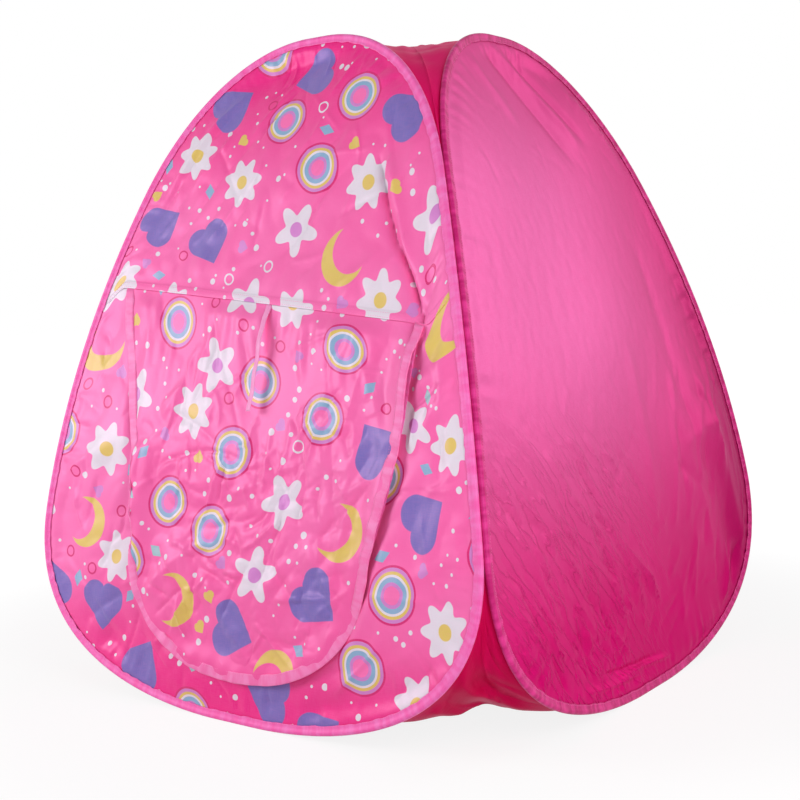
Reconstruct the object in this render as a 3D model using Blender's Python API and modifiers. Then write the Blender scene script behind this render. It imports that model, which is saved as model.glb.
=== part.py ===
"""A child's pop-up play tent.

Four sprung wire hoops, each in a folded cloth sleeve round a cloth wall, are sewn to one another
along the middle of their sides. The walls stand upright at the floor and bend inwards higher up.
Below the seams loose corner gussets close the gaps between the hoops, and a roof cloth closes
the top. The front wall is two cloths joined at a level seam, with a doorway in the lower one and
a bound door flap hung from the seam, and a pair of tie ribbons to hold the rolled flap.

Every piece of a wall is drawn flat, in its cutting pattern: x across the wall, y up along the
cloth from the floor, z out of the wall. It is then hung: bent to the wall's profile and turned
to its side of the tent. Metres, +Z up, the origin on the floor under the middle of the tent.
"""
import math

import bmesh
import bpy
from mathutils import Matrix, Vector

# The tent as a whole
TENT_HEIGHT = 0.900
FOOT_HALF_WIDTH = 0.396
HEAD_HALF_WIDTH = 0.178
SEAM_FOOT_HEIGHT = 0.252
SEAM_HEAD_DROP = 0.203

# The hoop's outline, as the reach of its curves towards their corners
FOOT_FLAT = 0.060
FOOT_REACH = 0.128
FOOT_RISE = 0.216
HEAD_FLAT = 0.030
HEAD_REACH = 0.117
HEAD_DROP = 0.124
FOOT_STEPS = 11
SIDE_STEPS = 10
HEAD_STEPS = 8

# Wire, ferrule, cloth and tape
WIRE_DIAMETER = 0.0028
FERRULE_WALL = 0.0005
FERRULE_LENGTH = 0.032
WIRE_END_GAP = 0.0010
CLOTH_THICKNESS = 0.0008
TAPE_THICKNESS = 0.0007
TAPE_WIDTH = 0.0130
SEWN_EDGE = 0.0050
SEWING_GAP = 0.0003
PIVOT_CLEARANCE = 0.0003
SLEEVE_SIDES = 6

# The front wall's seam, doorway and flap
DOOR_SEAM_HEIGHT = 0.540
FLAP_HEAD_HALF_WIDTH = 0.266
FLAP_SHOULDER_HALF_WIDTH = 0.205
FLAP_SHOULDER_HEIGHT = 0.215
FLAP_TIP_HEIGHT = 0.056
FLAP_LAP = 0.016
FLAP_BINDING_WIDTH = 0.0100
FLAP_FOLD_DEPTH = 0.0090
FLAP_FOLD_WIDTH = 0.0380
FLAP_SIDE_STEPS = 9
FLAP_ROUND_STEPS = 8
FLAP_COLUMNS = 16

# The tie ribbons
TIE_OFFSET = 0.010
TIE_WIDTH = 0.009
TIE_LENGTH = 0.145
TIE_THICKNESS = 0.0006
TIE_STEPS = 10

# Gussets and roof
GUSSET_HEM_HEIGHT = 0.034
GUSSET_HEM_WAVE = 0.006
GUSSET_FOLD_DEPTH = 0.011
GUSSET_FULL_FOLD_WIDTH = 0.080
GUSSET_COLUMNS = 14
ROOF_SAG = 0.010
ROOF_FOLD_DEPTH = 0.0036
ROOF_RINGS = 6

# The fold: how far inside their seams the two closing corners turn
CLOSING_HINGE_INSET = 0.0443

# Shares of the flap's half width across and of its drop from the seam downwards
FLAP_FOLD_SHARES = (
    ((0.62, -0.10), (0.92, 0.34), 1.00),
    ((-0.55, 0.20), (-0.10, 0.62), 0.70),
    ((-0.72, 0.55), (0.05, 0.98), 0.60),
    ((0.34, 0.30), (0.66, 0.86), 0.75),
)
# Shares of a gusset's width and drop where its folds start and end, and of their depth
GUSSET_FOLD_SHARES = (
    ((0.05, 0.30), (0.80, 1.05), 1.00),
    ((0.30, 0.20), (1.00, 0.85), -0.80),
    ((0.00, 0.62), (0.45, 1.05), -0.70),
)
GUSSET_FOLD_WIDTH_SHARE = 0.19

# Counts of waves, and the powers of the curves that fade or round a form
HEM_HALF_WAVES = 5
HEM_WAVE_POWER = 3
ROOF_WAVES = 12
ROOF_CROWN_POWER = 4
FLAP_ROUND_SHARE = 0.87
SMOOTH_ANGLE = math.radians(40)

WALL_TURNS = {"front": 0, "right": 1, "back": 2, "left": 3}

PINK_PRINTED = (0.96, 0.25, 0.55, 1.0)
PINK_SATIN = (0.90, 0.18, 0.45, 1.0)
PINK_TAPE = (0.95, 0.35, 0.60, 1.0)
PINK_RIBBON = (0.96, 0.55, 0.76, 1.0)
CRIMSON = (0.62, 0.03, 0.13, 1.0)
STEEL = (0.45, 0.45, 0.47, 1.0)
CLOTH_ROUGHNESS = 0.60
SATIN_ROUGHNESS = 0.38
STEEL_ROUGHNESS = 0.30

# Derived sizes
LEAN_IN = FOOT_HALF_WIDTH - HEAD_HALF_WIDTH
SEAM_HEAD_HEIGHT = TENT_HEIGHT - SEAM_HEAD_DROP
BEND = 2 * LEAN_IN / TENT_HEIGHT**2
WIRE_RADIUS = WIRE_DIAMETER / 2
FERRULE_BORE_RADIUS = WIRE_RADIUS + SEWING_GAP
FERRULE_RADIUS = FERRULE_BORE_RADIUS + FERRULE_WALL
CHANNEL_FLAT = FERRULE_RADIUS + SEWING_GAP
SLEEVE_FLAT = CHANNEL_FLAT + TAPE_THICKNESS
SIDE_HALF_ANGLE = math.pi / SLEEVE_SIDES
CHANNEL_RADIUS = CHANNEL_FLAT / math.cos(SIDE_HALF_ANGLE)
SLEEVE_RADIUS = SLEEVE_FLAT / math.cos(SIDE_HALF_ANGLE)
CLOTH_HALF = CLOTH_THICKNESS / 2
LEG_INNER = CLOTH_HALF + SEWING_GAP
LEG_OUTER = LEG_INNER + TAPE_THICKNESS
LEG_END = TAPE_WIDTH - SLEEVE_FLAT
CORNER_INSET = (2 * SLEEVE_RADIUS + PIVOT_CLEARANCE) / math.sqrt(2)
CLOTH_INSET = LEG_END - SEWN_EDGE
HUNG_INSIDE = SLEEVE_RADIUS + SEWING_GAP + CLOTH_HALF
FLAP_STANDOFF = 2 * LEG_OUTER + SEWING_GAP
FLAP_EDGE_INSET = TAPE_THICKNESS + SEWING_GAP
TIE_STANDOFF = FLAP_STANDOFF + CLOTH_HALF + SEWING_GAP + TIE_THICKNESS / 2
HINGE_HEADROOM = LEG_OUTER + SEWING_GAP
WELD = SEWING_GAP / 10
SEAM_MIDDLE_HEIGHT = (SEAM_FOOT_HEIGHT + SEAM_HEAD_HEIGHT) / 2


def wall_reach(height):
    """Distance from the tent's middle to a wall's mid-surface: it falls with the square of height."""
    return FOOT_HALF_WIDTH - LEAN_IN * (height / TENT_HEIGHT) ** 2


def cloth_length(height):
    """Length of cloth from the floor up to a height, along the bent wall."""
    slope = BEND * height
    return (height * math.sqrt(1 + slope**2) + math.asinh(slope) / BEND) / 2


def height_of(length):
    """Height reached by a length of cloth from the floor, by Newton's steps."""
    height = length
    for _ in range(6):
        height -= (cloth_length(height) - length) / math.sqrt(1 + (BEND * height) ** 2)
    return height


def hung(point, wall):
    """A point of the flat pattern (across, up, out) placed on its wall of the standing tent."""
    height = height_of(point.y)
    steepness = math.sqrt(1 + (BEND * height) ** 2)
    reach = wall_reach(height) + point.z / steepness
    rise = height + point.z * BEND * height / steepness
    turn = Matrix.Rotation(WALL_TURNS[wall] * math.pi / 2, 3, "Z")
    return turn @ Vector((point.x, -reach, rise))


def bezier(start, first, second, end, steps):
    """Points of a cubic curve, without its last one."""
    points = []
    for index in range(steps):
        t = index / steps
        s = 1 - t
        points.append(s**3 * start + 3 * s * s * t * first + 3 * s * t * t * second + t**3 * end)
    return points


def side_tangent(height):
    """Direction of the hoop's straight-sewn side in the flat pattern, at a height."""
    return Vector((-BEND * height, math.sqrt(1 + (BEND * height) ** 2))).normalized()


def side_point(height):
    """Point of the wire's line on the sewn side of the hoop, at a height."""
    return Vector((wall_reach(height) - CORNER_INSET, cloth_length(height)))


def half_hoop_line():
    """The wire's line in the flat pattern, right half, from the floor up to the head."""
    foot = Vector((FOOT_FLAT / 2, SLEEVE_FLAT))
    head = Vector((HEAD_FLAT / 2, cloth_length(TENT_HEIGHT) - SLEEVE_FLAT))
    low, high = side_point(SEAM_FOOT_HEIGHT), side_point(SEAM_HEAD_HEIGHT)
    foot_handle = foot + Vector((FOOT_REACH, 0))
    low_handle = low - FOOT_RISE * side_tangent(SEAM_FOOT_HEIGHT)
    high_handle = high + HEAD_DROP * side_tangent(SEAM_HEAD_HEIGHT)
    head_handle = head + Vector((HEAD_REACH, 0))
    line = bezier(foot, foot_handle, low_handle, low, FOOT_STEPS)
    rise = SEAM_HEAD_HEIGHT - SEAM_FOOT_HEIGHT
    line += [side_point(SEAM_FOOT_HEIGHT + rise * step / SIDE_STEPS) for step in range(SIDE_STEPS)]
    line += bezier(high, high_handle, head_handle, head, HEAD_STEPS)
    return line + [head]


def mirrored(line):
    """A half line with its mirror image, as one closed loop."""
    return line + [Vector((-point.x, point.y)) for point in reversed(line)]


def inset(line, distance, ahead, behind):
    """A line moved to its left by a distance; ahead and behind are its end directions."""
    moved = []
    for index, point in enumerate(line):
        before = (point - line[index - 1]).normalized() if index else behind
        after = (line[index + 1] - point).normalized() if index < len(line) - 1 else ahead
        normal = Vector((-before.y - after.y, before.x + after.x)).normalized()
        lean = normal.dot(Vector((-before.y, before.x)))
        moved.append(point + normal * distance / lean)
    return moved


def along(line, level):
    """How far across a rising half line lies at a level of the flat pattern."""
    for low, high in zip(line, line[1:]):
        if low.y <= level <= high.y:
            return low.x + (high.x - low.x) * (level - low.y) / (high.y - low.y)
    return line[-1].x if level > line[-1].y else line[0].x


def new_collection(name):
    """A collection linked to the scene."""
    collection = bpy.data.collections.new(name)
    bpy.context.scene.collection.children.link(collection)
    return collection


def finish(name, colour, roughness, metallic=0.0):
    """A Principled material."""
    material = bpy.data.materials.new(name)
    material.use_nodes = True
    shader = material.node_tree.nodes["Principled BSDF"]
    shader.inputs["Base Color"].default_value = colour
    shader.inputs["Roughness"].default_value = roughness
    shader.inputs["Metallic"].default_value = metallic
    material.diffuse_color = colour
    return material


def remove_all():
    """Clear the scene's own objects, whatever the file that this runs in holds."""
    for thing in list(bpy.data.objects):
        bpy.data.objects.remove(thing, do_unlink=True)


def settled_mesh(source):
    """The evaluated mesh of an object, which is then removed; a weld closes a curve's caps."""
    evaluated = source.evaluated_get(bpy.context.evaluated_depsgraph_get())
    mesh = bpy.data.meshes.new_from_object(evaluated)
    mesh.transform(source.matrix_world)
    data = source.data
    bpy.data.objects.remove(source, do_unlink=True)
    if isinstance(data, bpy.types.Curve):
        bpy.data.curves.remove(data)
    work = bmesh.new()
    work.from_mesh(mesh)
    bmesh.ops.remove_doubles(work, verts=work.verts, dist=WELD)
    bmesh.ops.recalc_face_normals(work, faces=work.faces)
    work.to_mesh(mesh)
    work.free()
    return mesh


def place(mesh, name, collection, material, parent):
    """Link a finished mesh, already in tent coordinates, as a named piece under its carrier."""
    mesh.name = name
    mesh.materials.clear()
    mesh.materials.append(material)
    mesh.shade_smooth()
    mesh.set_sharp_from_angle(angle=SMOOTH_ANGLE)
    piece = bpy.data.objects.new(name, mesh)
    collection.objects.link(piece)
    piece.parent = parent
    piece.matrix_parent_inverse = parent.matrix_world.inverted()
    return piece


def flat_curve(name, line, closed, collection):
    """A 2D curve through points of the flat pattern."""
    curve = bpy.data.curves.new(name, "CURVE")
    curve.dimensions = "2D"
    curve.fill_mode = "NONE"
    curve.resolution_u = 1
    spline = curve.splines.new("POLY")
    spline.points.add(len(line) - 1)
    for index, point in enumerate(line):
        spline.points[index].co = (point.x, point.y, 0, 1)
    spline.use_cyclic_u = closed
    holder = bpy.data.objects.new(name, curve)
    collection.objects.link(holder)
    return holder


def hang(mesh, wall, rise=None):
    """Bend a flat mesh to its wall; rise adds a height out of the wall at each place."""
    for vertex in mesh.vertices:
        lift = rise(vertex.co.x, vertex.co.y) if rise else 0
        vertex.co = hung(vertex.co + Vector((0, 0, lift)), wall)
    mesh.update()
    return mesh


def lifted(mesh, distance):
    """Raise a flat mesh out of the pattern's plane."""
    mesh.transform(Matrix.Translation((0, 0, distance)))
    return mesh


def sleeve_profile():
    """Half section of the folded sleeve: a six-sided channel for the wire and a leg on each face."""
    outer, inner = [], []
    for side in range(SLEEVE_SIDES // 2):
        angle = (2 * side + 1) * SIDE_HALF_ANGLE
        outer.append(Vector((math.cos(angle), math.sin(angle))) * SLEEVE_RADIUS)
        inner.append(Vector((math.cos(angle), math.sin(angle))) * CHANNEL_RADIUS)
    outer[-1].y = LEG_OUTER
    inner[-1].y = LEG_INNER
    half = outer + [Vector((-LEG_END, LEG_OUTER)), Vector((-LEG_END, LEG_INNER))] + inner[::-1]
    return half


def binding_profile(width):
    """Half section of a plain folded binding, its outer edge at the line that it follows."""
    return [
        Vector((0, LEG_OUTER)),
        Vector((-width, LEG_OUTER)),
        Vector((-width, LEG_INNER)),
        Vector((-TAPE_THICKNESS, LEG_INNER)),
    ]


def profile_curve(half, inwards, cutters):
    """A closed section from its upper half; a closed flat curve carries a section's x inwards."""
    section = half + [Vector((point.x, -point.y)) for point in reversed(half)]
    if inwards:
        section = [Vector((-point.x, point.y)) for point in section]
    holder = flat_curve("section", section, True, cutters)
    holder.hide_render = True
    holder.display_type = "WIRE"
    return holder


def carried(name, half, line, closed, cutters):
    """A section carried along a line of the flat pattern, as a flat mesh."""
    section = profile_curve(half, closed, cutters)
    path = flat_curve(name, line, closed, cutters)
    path.data.bevel_mode = "OBJECT"
    path.data.bevel_object = section
    path.data.use_fill_caps = not closed
    bpy.context.view_layer.update()
    mesh = settled_mesh(path)
    data = section.data
    bpy.data.objects.remove(section, do_unlink=True)
    bpy.data.curves.remove(data)
    return mesh


def round_wire(name, line, cutters):
    """A round wire along a line of the flat pattern, its two ends a small gap apart."""
    start = line[0] + (line[1] - line[0]).normalized() * WIRE_END_GAP / 2
    path = flat_curve(name, [start] + line[1:], False, cutters)
    path.data.dimensions = "3D"
    path.data.bevel_depth = WIRE_RADIUS
    path.data.bevel_resolution = 2
    path.data.use_fill_caps = True
    bpy.context.view_layer.update()
    return settled_mesh(path)


def tube(inner_radius, outer_radius, length):
    """A plain tube along x, centred on the origin: a ring between two circles, extruded."""
    work = bmesh.new()
    turn = Matrix.Rotation(math.pi / 2, 4, "Y")
    for radius in (inner_radius, outer_radius):
        bmesh.ops.create_circle(work, segments=2 * SLEEVE_SIDES, radius=radius, matrix=turn)
    rings = bmesh.ops.bridge_loops(work, edges=work.edges)
    wall = bmesh.ops.extrude_face_region(work, geom=rings["faces"])
    moved = [part for part in wall["geom"] if isinstance(part, bmesh.types.BMVert)]
    bmesh.ops.translate(work, verts=moved, vec=(length, 0, 0))
    bmesh.ops.translate(work, verts=work.verts, vec=(-length / 2, 0, 0))
    bmesh.ops.recalc_face_normals(work, faces=work.faces)
    mesh = bpy.data.meshes.new("tube")
    work.to_mesh(mesh)
    work.free()
    return mesh


def thickened(work, thickness, cutters):
    """A sheet's bmesh given its thickness, as a mesh."""
    mesh = bpy.data.meshes.new("sheet")
    work.to_mesh(mesh)
    work.free()
    holder = bpy.data.objects.new("sheet", mesh)
    cutters.objects.link(holder)
    wall = holder.modifiers.new("thickness", "SOLIDIFY")
    wall.thickness = thickness
    wall.offset = 0
    wall.use_even_offset = True
    bpy.context.view_layer.update()
    return settled_mesh(holder)


def grid_sheet(columns, rows, shape):
    """A sheet of columns by rows whose vertices are shaped by a function of their two counts."""
    work = bmesh.new()
    bmesh.ops.create_grid(work, x_segments=columns, y_segments=rows, size=1)
    for vertex in work.verts:
        column = round((vertex.co.x + 1) / 2 * columns)
        row = round((vertex.co.y + 1) / 2 * rows)
        vertex.co = shape(column, row)
    bmesh.ops.remove_doubles(work, verts=work.verts, dist=WELD)
    return work


def cloth_edge():
    """Right edge of a wall's cloth in the flat pattern, held between the sleeve's legs."""
    return inset(half_hoop_line(), CLOTH_INSET, Vector((-1, 0)), Vector((1, 0)))


def plain_cloth(levels, edge, cutters):
    """A wall cloth without a doorway, between two levels."""

    def shape(column, row):
        across = along(edge, levels[row])
        return Vector((across if column else -across, levels[row], 0))

    return thickened(grid_sheet(1, len(levels) - 1, shape), CLOTH_THICKNESS, cutters)


def levels_between(edge, low, high):
    """The edge's own levels that lie between two others, with those two."""
    inside = [point.y for point in edge if low + SEWING_GAP < point.y < high - SEWING_GAP]
    return [low] + inside + [high]


def cut_to(line, level):
    """A falling line whose first point is slid along its first stretch to a level."""
    share = (level - line[1].y) / (line[0].y - line[1].y)
    return [line[1].lerp(line[0], share)] + line[1:]


def flap_line(drop_in, head_gap=0):
    """Right half of the flap's outline, head to tip, moved in by drop_in, cut below the seam."""
    head, shoulder = cloth_length(DOOR_SEAM_HEIGHT), cloth_length(FLAP_SHOULDER_HEIGHT)
    tip = cloth_length(FLAP_TIP_HEIGHT)
    line = []
    for step in range(FLAP_SIDE_STEPS):
        share = step / FLAP_SIDE_STEPS
        taper = FLAP_HEAD_HALF_WIDTH - FLAP_SHOULDER_HALF_WIDTH
        line.append(Vector((FLAP_HEAD_HALF_WIDTH - taper * share, head - (head - shoulder) * share)))
    for step in range(FLAP_ROUND_STEPS + 1):
        angle = math.pi / 2 * step / FLAP_ROUND_STEPS
        across = FLAP_SHOULDER_HALF_WIDTH * math.cos(angle) ** FLAP_ROUND_SHARE
        line.append(Vector((across, shoulder - (shoulder - tip) * math.sin(angle))))
    taper = line[1] - line[0]
    line[-1].x = 0
    if drop_in:
        line = inset(line[::-1], drop_in, -taper.normalized(), Vector((1, 0)))[::-1]
        line[-1].x = 0
    return cut_to(line, head - head_gap)


def doorway_cloth(edge, cutters):
    """The lower front cloth: its outer edge is the wall's, with the doorway cut in from the top."""
    seam = cloth_length(DOOR_SEAM_HEIGHT) - SEWING_GAP / 2
    door = flap_line(FLAP_LAP - FLAP_EDGE_INSET)[::-1]
    levels = levels_between(edge, edge[0].y, seam) + [point.y for point in door[:-1]]
    levels.sort()

    def shape(column, row):
        level = levels[row]
        gap = along(door, level) if level > door[0].y else 0
        across = (-along(edge, level), -gap, gap, along(edge, level))[column]
        return Vector((across, level, 0))

    work = grid_sheet(3, len(levels) - 1, shape)
    opening = [
        face
        for face in work.faces
        if face.calc_center_median().y > door[0].y and abs(face.calc_center_median().x) < SEWN_EDGE
    ]
    bmesh.ops.delete(work, geom=opening, context="FACES")
    return thickened(work, CLOTH_THICKNESS, cutters)


def ridge(across, down, fold, width):
    """Height of one soft fold: full on its line, nothing a width away or past its ends."""
    (start_x, start_y), (end_x, end_y), depth = fold
    run = Vector((end_x - start_x, end_y - start_y))
    away = Vector((across - start_x, down - start_y))
    share = away.dot(run) / run.length_squared
    off = (away - run * share).length / width
    fade = math.sin(math.pi * share) ** 0.5 if 0 < share < 1 else 0
    return depth * fade * max(0, 1 - off * off) ** 2


def flap_inside():
    """The flap's right half line just inside its binding, where its folds end."""
    return flap_line(FLAP_BINDING_WIDTH + SEWING_GAP)[::-1]


def flap_rise(across, up):
    """Height of the flap's folds out of the wall: none under the binding nor along the seam."""
    head, tip = cloth_length(DOOR_SEAM_HEIGHT), cloth_length(FLAP_TIP_HEIGHT)
    inside = flap_inside()
    if up <= inside[0].y or abs(across) >= along(inside, up):
        return 0
    drop = (head - up) / (head - tip)
    width = FLAP_FOLD_WIDTH / FLAP_HEAD_HALF_WIDTH
    folds = sum(ridge(across / FLAP_HEAD_HALF_WIDTH, drop, fold, width) for fold in FLAP_FOLD_SHARES)
    free = min(head - up, up - inside[0].y, along(inside, up) - abs(across))
    return FLAP_FOLD_DEPTH * folds * min(1.0, max(0.0, free) / FLAP_FOLD_WIDTH)


def flap_cloth(cutters):
    """The door flap's cloth, flat: its outermost strip lies in the binding, the rest can fold."""
    line = flap_line(FLAP_EDGE_INSET, HINGE_HEADROOM)[::-1]
    inside = flap_inside()
    levels = sorted([point.y for point in line] + [inside[0].y])

    def shape(column, row):
        level = levels[row]
        edge = along(line, level)
        inner = along(inside, level) if level > inside[0].y else 0
        share = 2 * (column - 1) / (FLAP_COLUMNS - 2) - 1
        across = inner * share if abs(share) <= 1 else math.copysign(edge, share)
        return Vector((across, level, 0))

    return thickened(grid_sheet(FLAP_COLUMNS, len(levels) - 1, shape), CLOTH_THICKNESS, cutters)


def flap_binding(cutters):
    """The binding round the flap's free edge, ending just under the seam."""
    taper = (FLAP_HEAD_HALF_WIDTH - FLAP_SHOULDER_HALF_WIDTH) / (DOOR_SEAM_HEIGHT - FLAP_SHOULDER_HEIGHT)
    line = flap_line(0, HINGE_HEADROOM + FLAP_BINDING_WIDTH * taper)
    loop = line + mirrored(line[:-1])[len(line) - 1:]
    return carried("flap_binding", binding_profile(FLAP_BINDING_WIDTH), loop[::-1], False, cutters)


def doorway_binding(cutters):
    """The binding round the doorway's cut edge: its fold faces the doorway."""
    line = flap_line(FLAP_LAP, SEWING_GAP)
    loop = line + mirrored(line[:-1])[len(line) - 1:]
    return carried("doorway_binding", binding_profile(FLAP_BINDING_WIDTH), loop, False, cutters)


def ribbon(cutters):
    """A flat tie ribbon hanging from the seam's level in the flat pattern."""
    head = cloth_length(DOOR_SEAM_HEIGHT) - HINGE_HEADROOM

    def shape(column, row):
        return Vector((TIE_OFFSET + TIE_WIDTH * (column - 1 / 2), head - TIE_LENGTH * row / TIE_STEPS, 0))

    return thickened(grid_sheet(1, TIE_STEPS, shape), TIE_THICKNESS, cutters)


def plumb_ribbon(cutters):
    """The inner tie: it hangs straight down from the seam's inner face, inside the tent."""
    height = DOOR_SEAM_HEIGHT - SEWING_GAP
    inner = CLOTH_HALF + SEWING_GAP + TIE_THICKNESS / 2

    def shape(column, row):
        across = TIE_OFFSET + TIE_WIDTH * (column - 1 / 2)
        return Vector((across, -wall_reach(height) + inner, height - TIE_LENGTH * row / TIE_STEPS))

    return thickened(grid_sheet(1, TIE_STEPS, shape), TIE_THICKNESS, cutters)


def sewn_point(across, up, wall):
    """Where corner or roof cloth is sewn: just inside the wire's channel."""
    return hung(Vector((across, up, -HUNG_INSIDE)), wall)


def gusset_levels():
    """The hoop line's own points from the seam's foot down to the hem, in the flat pattern."""
    line = half_hoop_line()
    hem = cloth_length(GUSSET_HEM_HEIGHT)
    top = cloth_length(SEAM_FOOT_HEIGHT) + SEWING_GAP
    points = [point for point in line if hem + SEWN_EDGE < point.y < top]
    return [Vector((along(line, hem), hem))] + points


def corner_gusset(near, far, cutters):
    """Cloth that closes the corner below a seam, in soft slanting folds, with a free wavy hem."""
    levels = gusset_levels()[::-1]
    rows = len(levels) - 1
    drop = levels[0].y - levels[-1].y

    def shape(column, row):
        point = levels[row]
        share = column / GUSSET_COLUMNS
        down = (levels[0].y - point.y) / drop
        start, end = sewn_point(point.x, point.y, near), sewn_point(-point.x, point.y, far)
        place_at = start.lerp(end, share)
        inwards = Vector((-place_at.x, -place_at.y, 0)).normalized()
        held = math.sin(math.pi * share) * min(1.0, (end - start).length / GUSSET_FULL_FOLD_WIDTH)
        folds = sum(ridge(share, down, fold, GUSSET_FOLD_WIDTH_SHARE) for fold in GUSSET_FOLD_SHARES)
        wave = math.sin(math.pi * HEM_HALF_WAVES * share) * down**HEM_WAVE_POWER
        place_at += inwards * GUSSET_FOLD_DEPTH * folds * held
        place_at.z += GUSSET_HEM_WAVE * wave * math.sin(math.pi * share)
        return place_at

    return thickened(grid_sheet(GUSSET_COLUMNS, rows, shape), CLOTH_THICKNESS, cutters)


def roof_edge():
    """The roof's edge, walked once round the four hoops' heads."""
    line = half_hoop_line()
    seam = cloth_length(SEAM_HEAD_HEIGHT)
    half = [point for point in line if point.y > seam - SEWING_GAP]
    across = [Vector((-point.x, point.y)) for point in half] + half[::-1]
    edge = []
    for wall in WALL_TURNS:
        edge += [sewn_point(point.x, point.y, wall) for point in across]
    return edge


def roof_cloth(cutters):
    """The roof: rings drawn in from the edge to the middle, crowned towards the hoops' heads."""
    edge = roof_edge()
    count = len(edge)
    top = max(point.z for point in edge)

    def shape(column, row):
        point = edge[column % count]
        share = 1 - row / ROOF_RINGS
        drop = top - point.z
        turn = math.atan2(point.y, point.x)
        fold = math.cos(ROOF_WAVES * turn) * math.sin(math.pi * share) * share
        height = top - drop * share**ROOF_CROWN_POWER - ROOF_SAG * (1 - share**2)
        return Vector((point.x * share, point.y * share, height + ROOF_FOLD_DEPTH * fold))

    return thickened(grid_sheet(count, ROOF_RINGS, shape), CLOTH_THICKNESS, cutters)


def hinge_foot(inset_by, across_sign, out_sign):
    """Where a corner's fold axis meets the floor.

    All four axes lean to one apex over the tent, so that the walls fold together. It is where the
    tangent to the seams at their middle height meets the tent's own axis.
    """
    reach = wall_reach(SEAM_MIDDLE_HEIGHT)
    apex = SEAM_MIDDLE_HEIGHT + reach / (BEND * SEAM_MIDDLE_HEIGHT)
    spread = (reach - inset_by) * apex / (apex - SEAM_MIDDLE_HEIGHT)
    return Vector((across_sign * spread, out_sign * spread, 0))


def carrier(name, location, parent, collection):
    """An empty on a joint's axis, or at the tent's origin, which carries a wall or flap."""
    empty = bpy.data.objects.new(name, None)
    empty.location = location
    collection.objects.link(empty)
    bpy.context.view_layer.update()
    if parent:
        empty.parent = parent
        empty.matrix_parent_inverse = parent.matrix_world.inverted()
        bpy.context.view_layer.update()
    return empty


def hoop_pieces(wall, carried_by, tent, cutters, finishes):
    """Wire, ferrule and sleeve of one wall."""
    loop = mirrored(half_hoop_line())
    middle = Vector((0, SLEEVE_FLAT))
    wire_line = [middle] + loop + [middle + Vector((-WIRE_END_GAP / 2, 0))]
    wire = round_wire("wire", wire_line, cutters)
    place(hang(wire, wall), f"wire_hoop_{wall}", tent, finishes["steel"], carried_by)
    ferrule = tube(FERRULE_BORE_RADIUS, FERRULE_RADIUS, FERRULE_LENGTH)
    ferrule.transform(Matrix.Translation((0, SLEEVE_FLAT, 0)))
    place(hang(ferrule, wall), f"wire_ferrule_{wall}", tent, finishes["ferrule"], carried_by)
    sleeve = carried("sleeve", sleeve_profile(), loop, True, cutters)
    place(hang(sleeve, wall), f"hoop_sleeve_{wall}", tent, finishes["tape"], carried_by)


def front_cloths(carried_by, tent, cutters, finishes):
    """The two printed cloths of the front wall and the binding of the doorway."""
    edge = cloth_edge()
    seam = cloth_length(DOOR_SEAM_HEIGHT) + SEWING_GAP / 2
    upper = plain_cloth(levels_between(edge, seam, edge[-1].y), edge, cutters)
    place(hang(upper, "front"), "front_cloth_upper", tent, finishes["print"], carried_by)
    lower = doorway_cloth(edge, cutters)
    place(hang(lower, "front"), "front_cloth_lower", tent, finishes["print"], carried_by)
    binding = hang(doorway_binding(cutters), "front")
    place(binding, "doorway_binding", tent, finishes["tape"], carried_by)


def door_pieces(front, tent, cutters, finishes):
    """The flap with its binding, and the two ties, each on its own hinge line."""
    head = cloth_length(DOOR_SEAM_HEIGHT)
    flap_axis = hung(Vector((0, head, FLAP_STANDOFF)), "front")
    flap = carrier("flap_hinge", flap_axis, front, tent)
    cloth = hang(lifted(flap_cloth(cutters), FLAP_STANDOFF), "front", flap_rise)
    place(cloth, "door_flap_cloth", tent, finishes["print"], flap)
    binding = hang(lifted(flap_binding(cutters), FLAP_STANDOFF), "front", flap_rise)
    place(binding, "door_flap_binding", tent, finishes["tape"], flap)
    outer_axis = hung(Vector((TIE_OFFSET, head, TIE_STANDOFF)), "front")
    outer_hinge = carrier("outer_tie_hinge", outer_axis, flap, tent)
    outer = hang(lifted(ribbon(cutters), TIE_STANDOFF), "front", flap_rise)
    place(outer, "tie_ribbon_outer", tent, finishes["ribbon"], outer_hinge)
    inner_axis = hung(Vector((TIE_OFFSET, head, -CLOTH_HALF - SEWING_GAP)), "front")
    inner_hinge = carrier("inner_tie_hinge", inner_axis, front, tent)
    place(plumb_ribbon(cutters), "tie_ribbon_inner", tent, finishes["ribbon"], inner_hinge)


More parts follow.
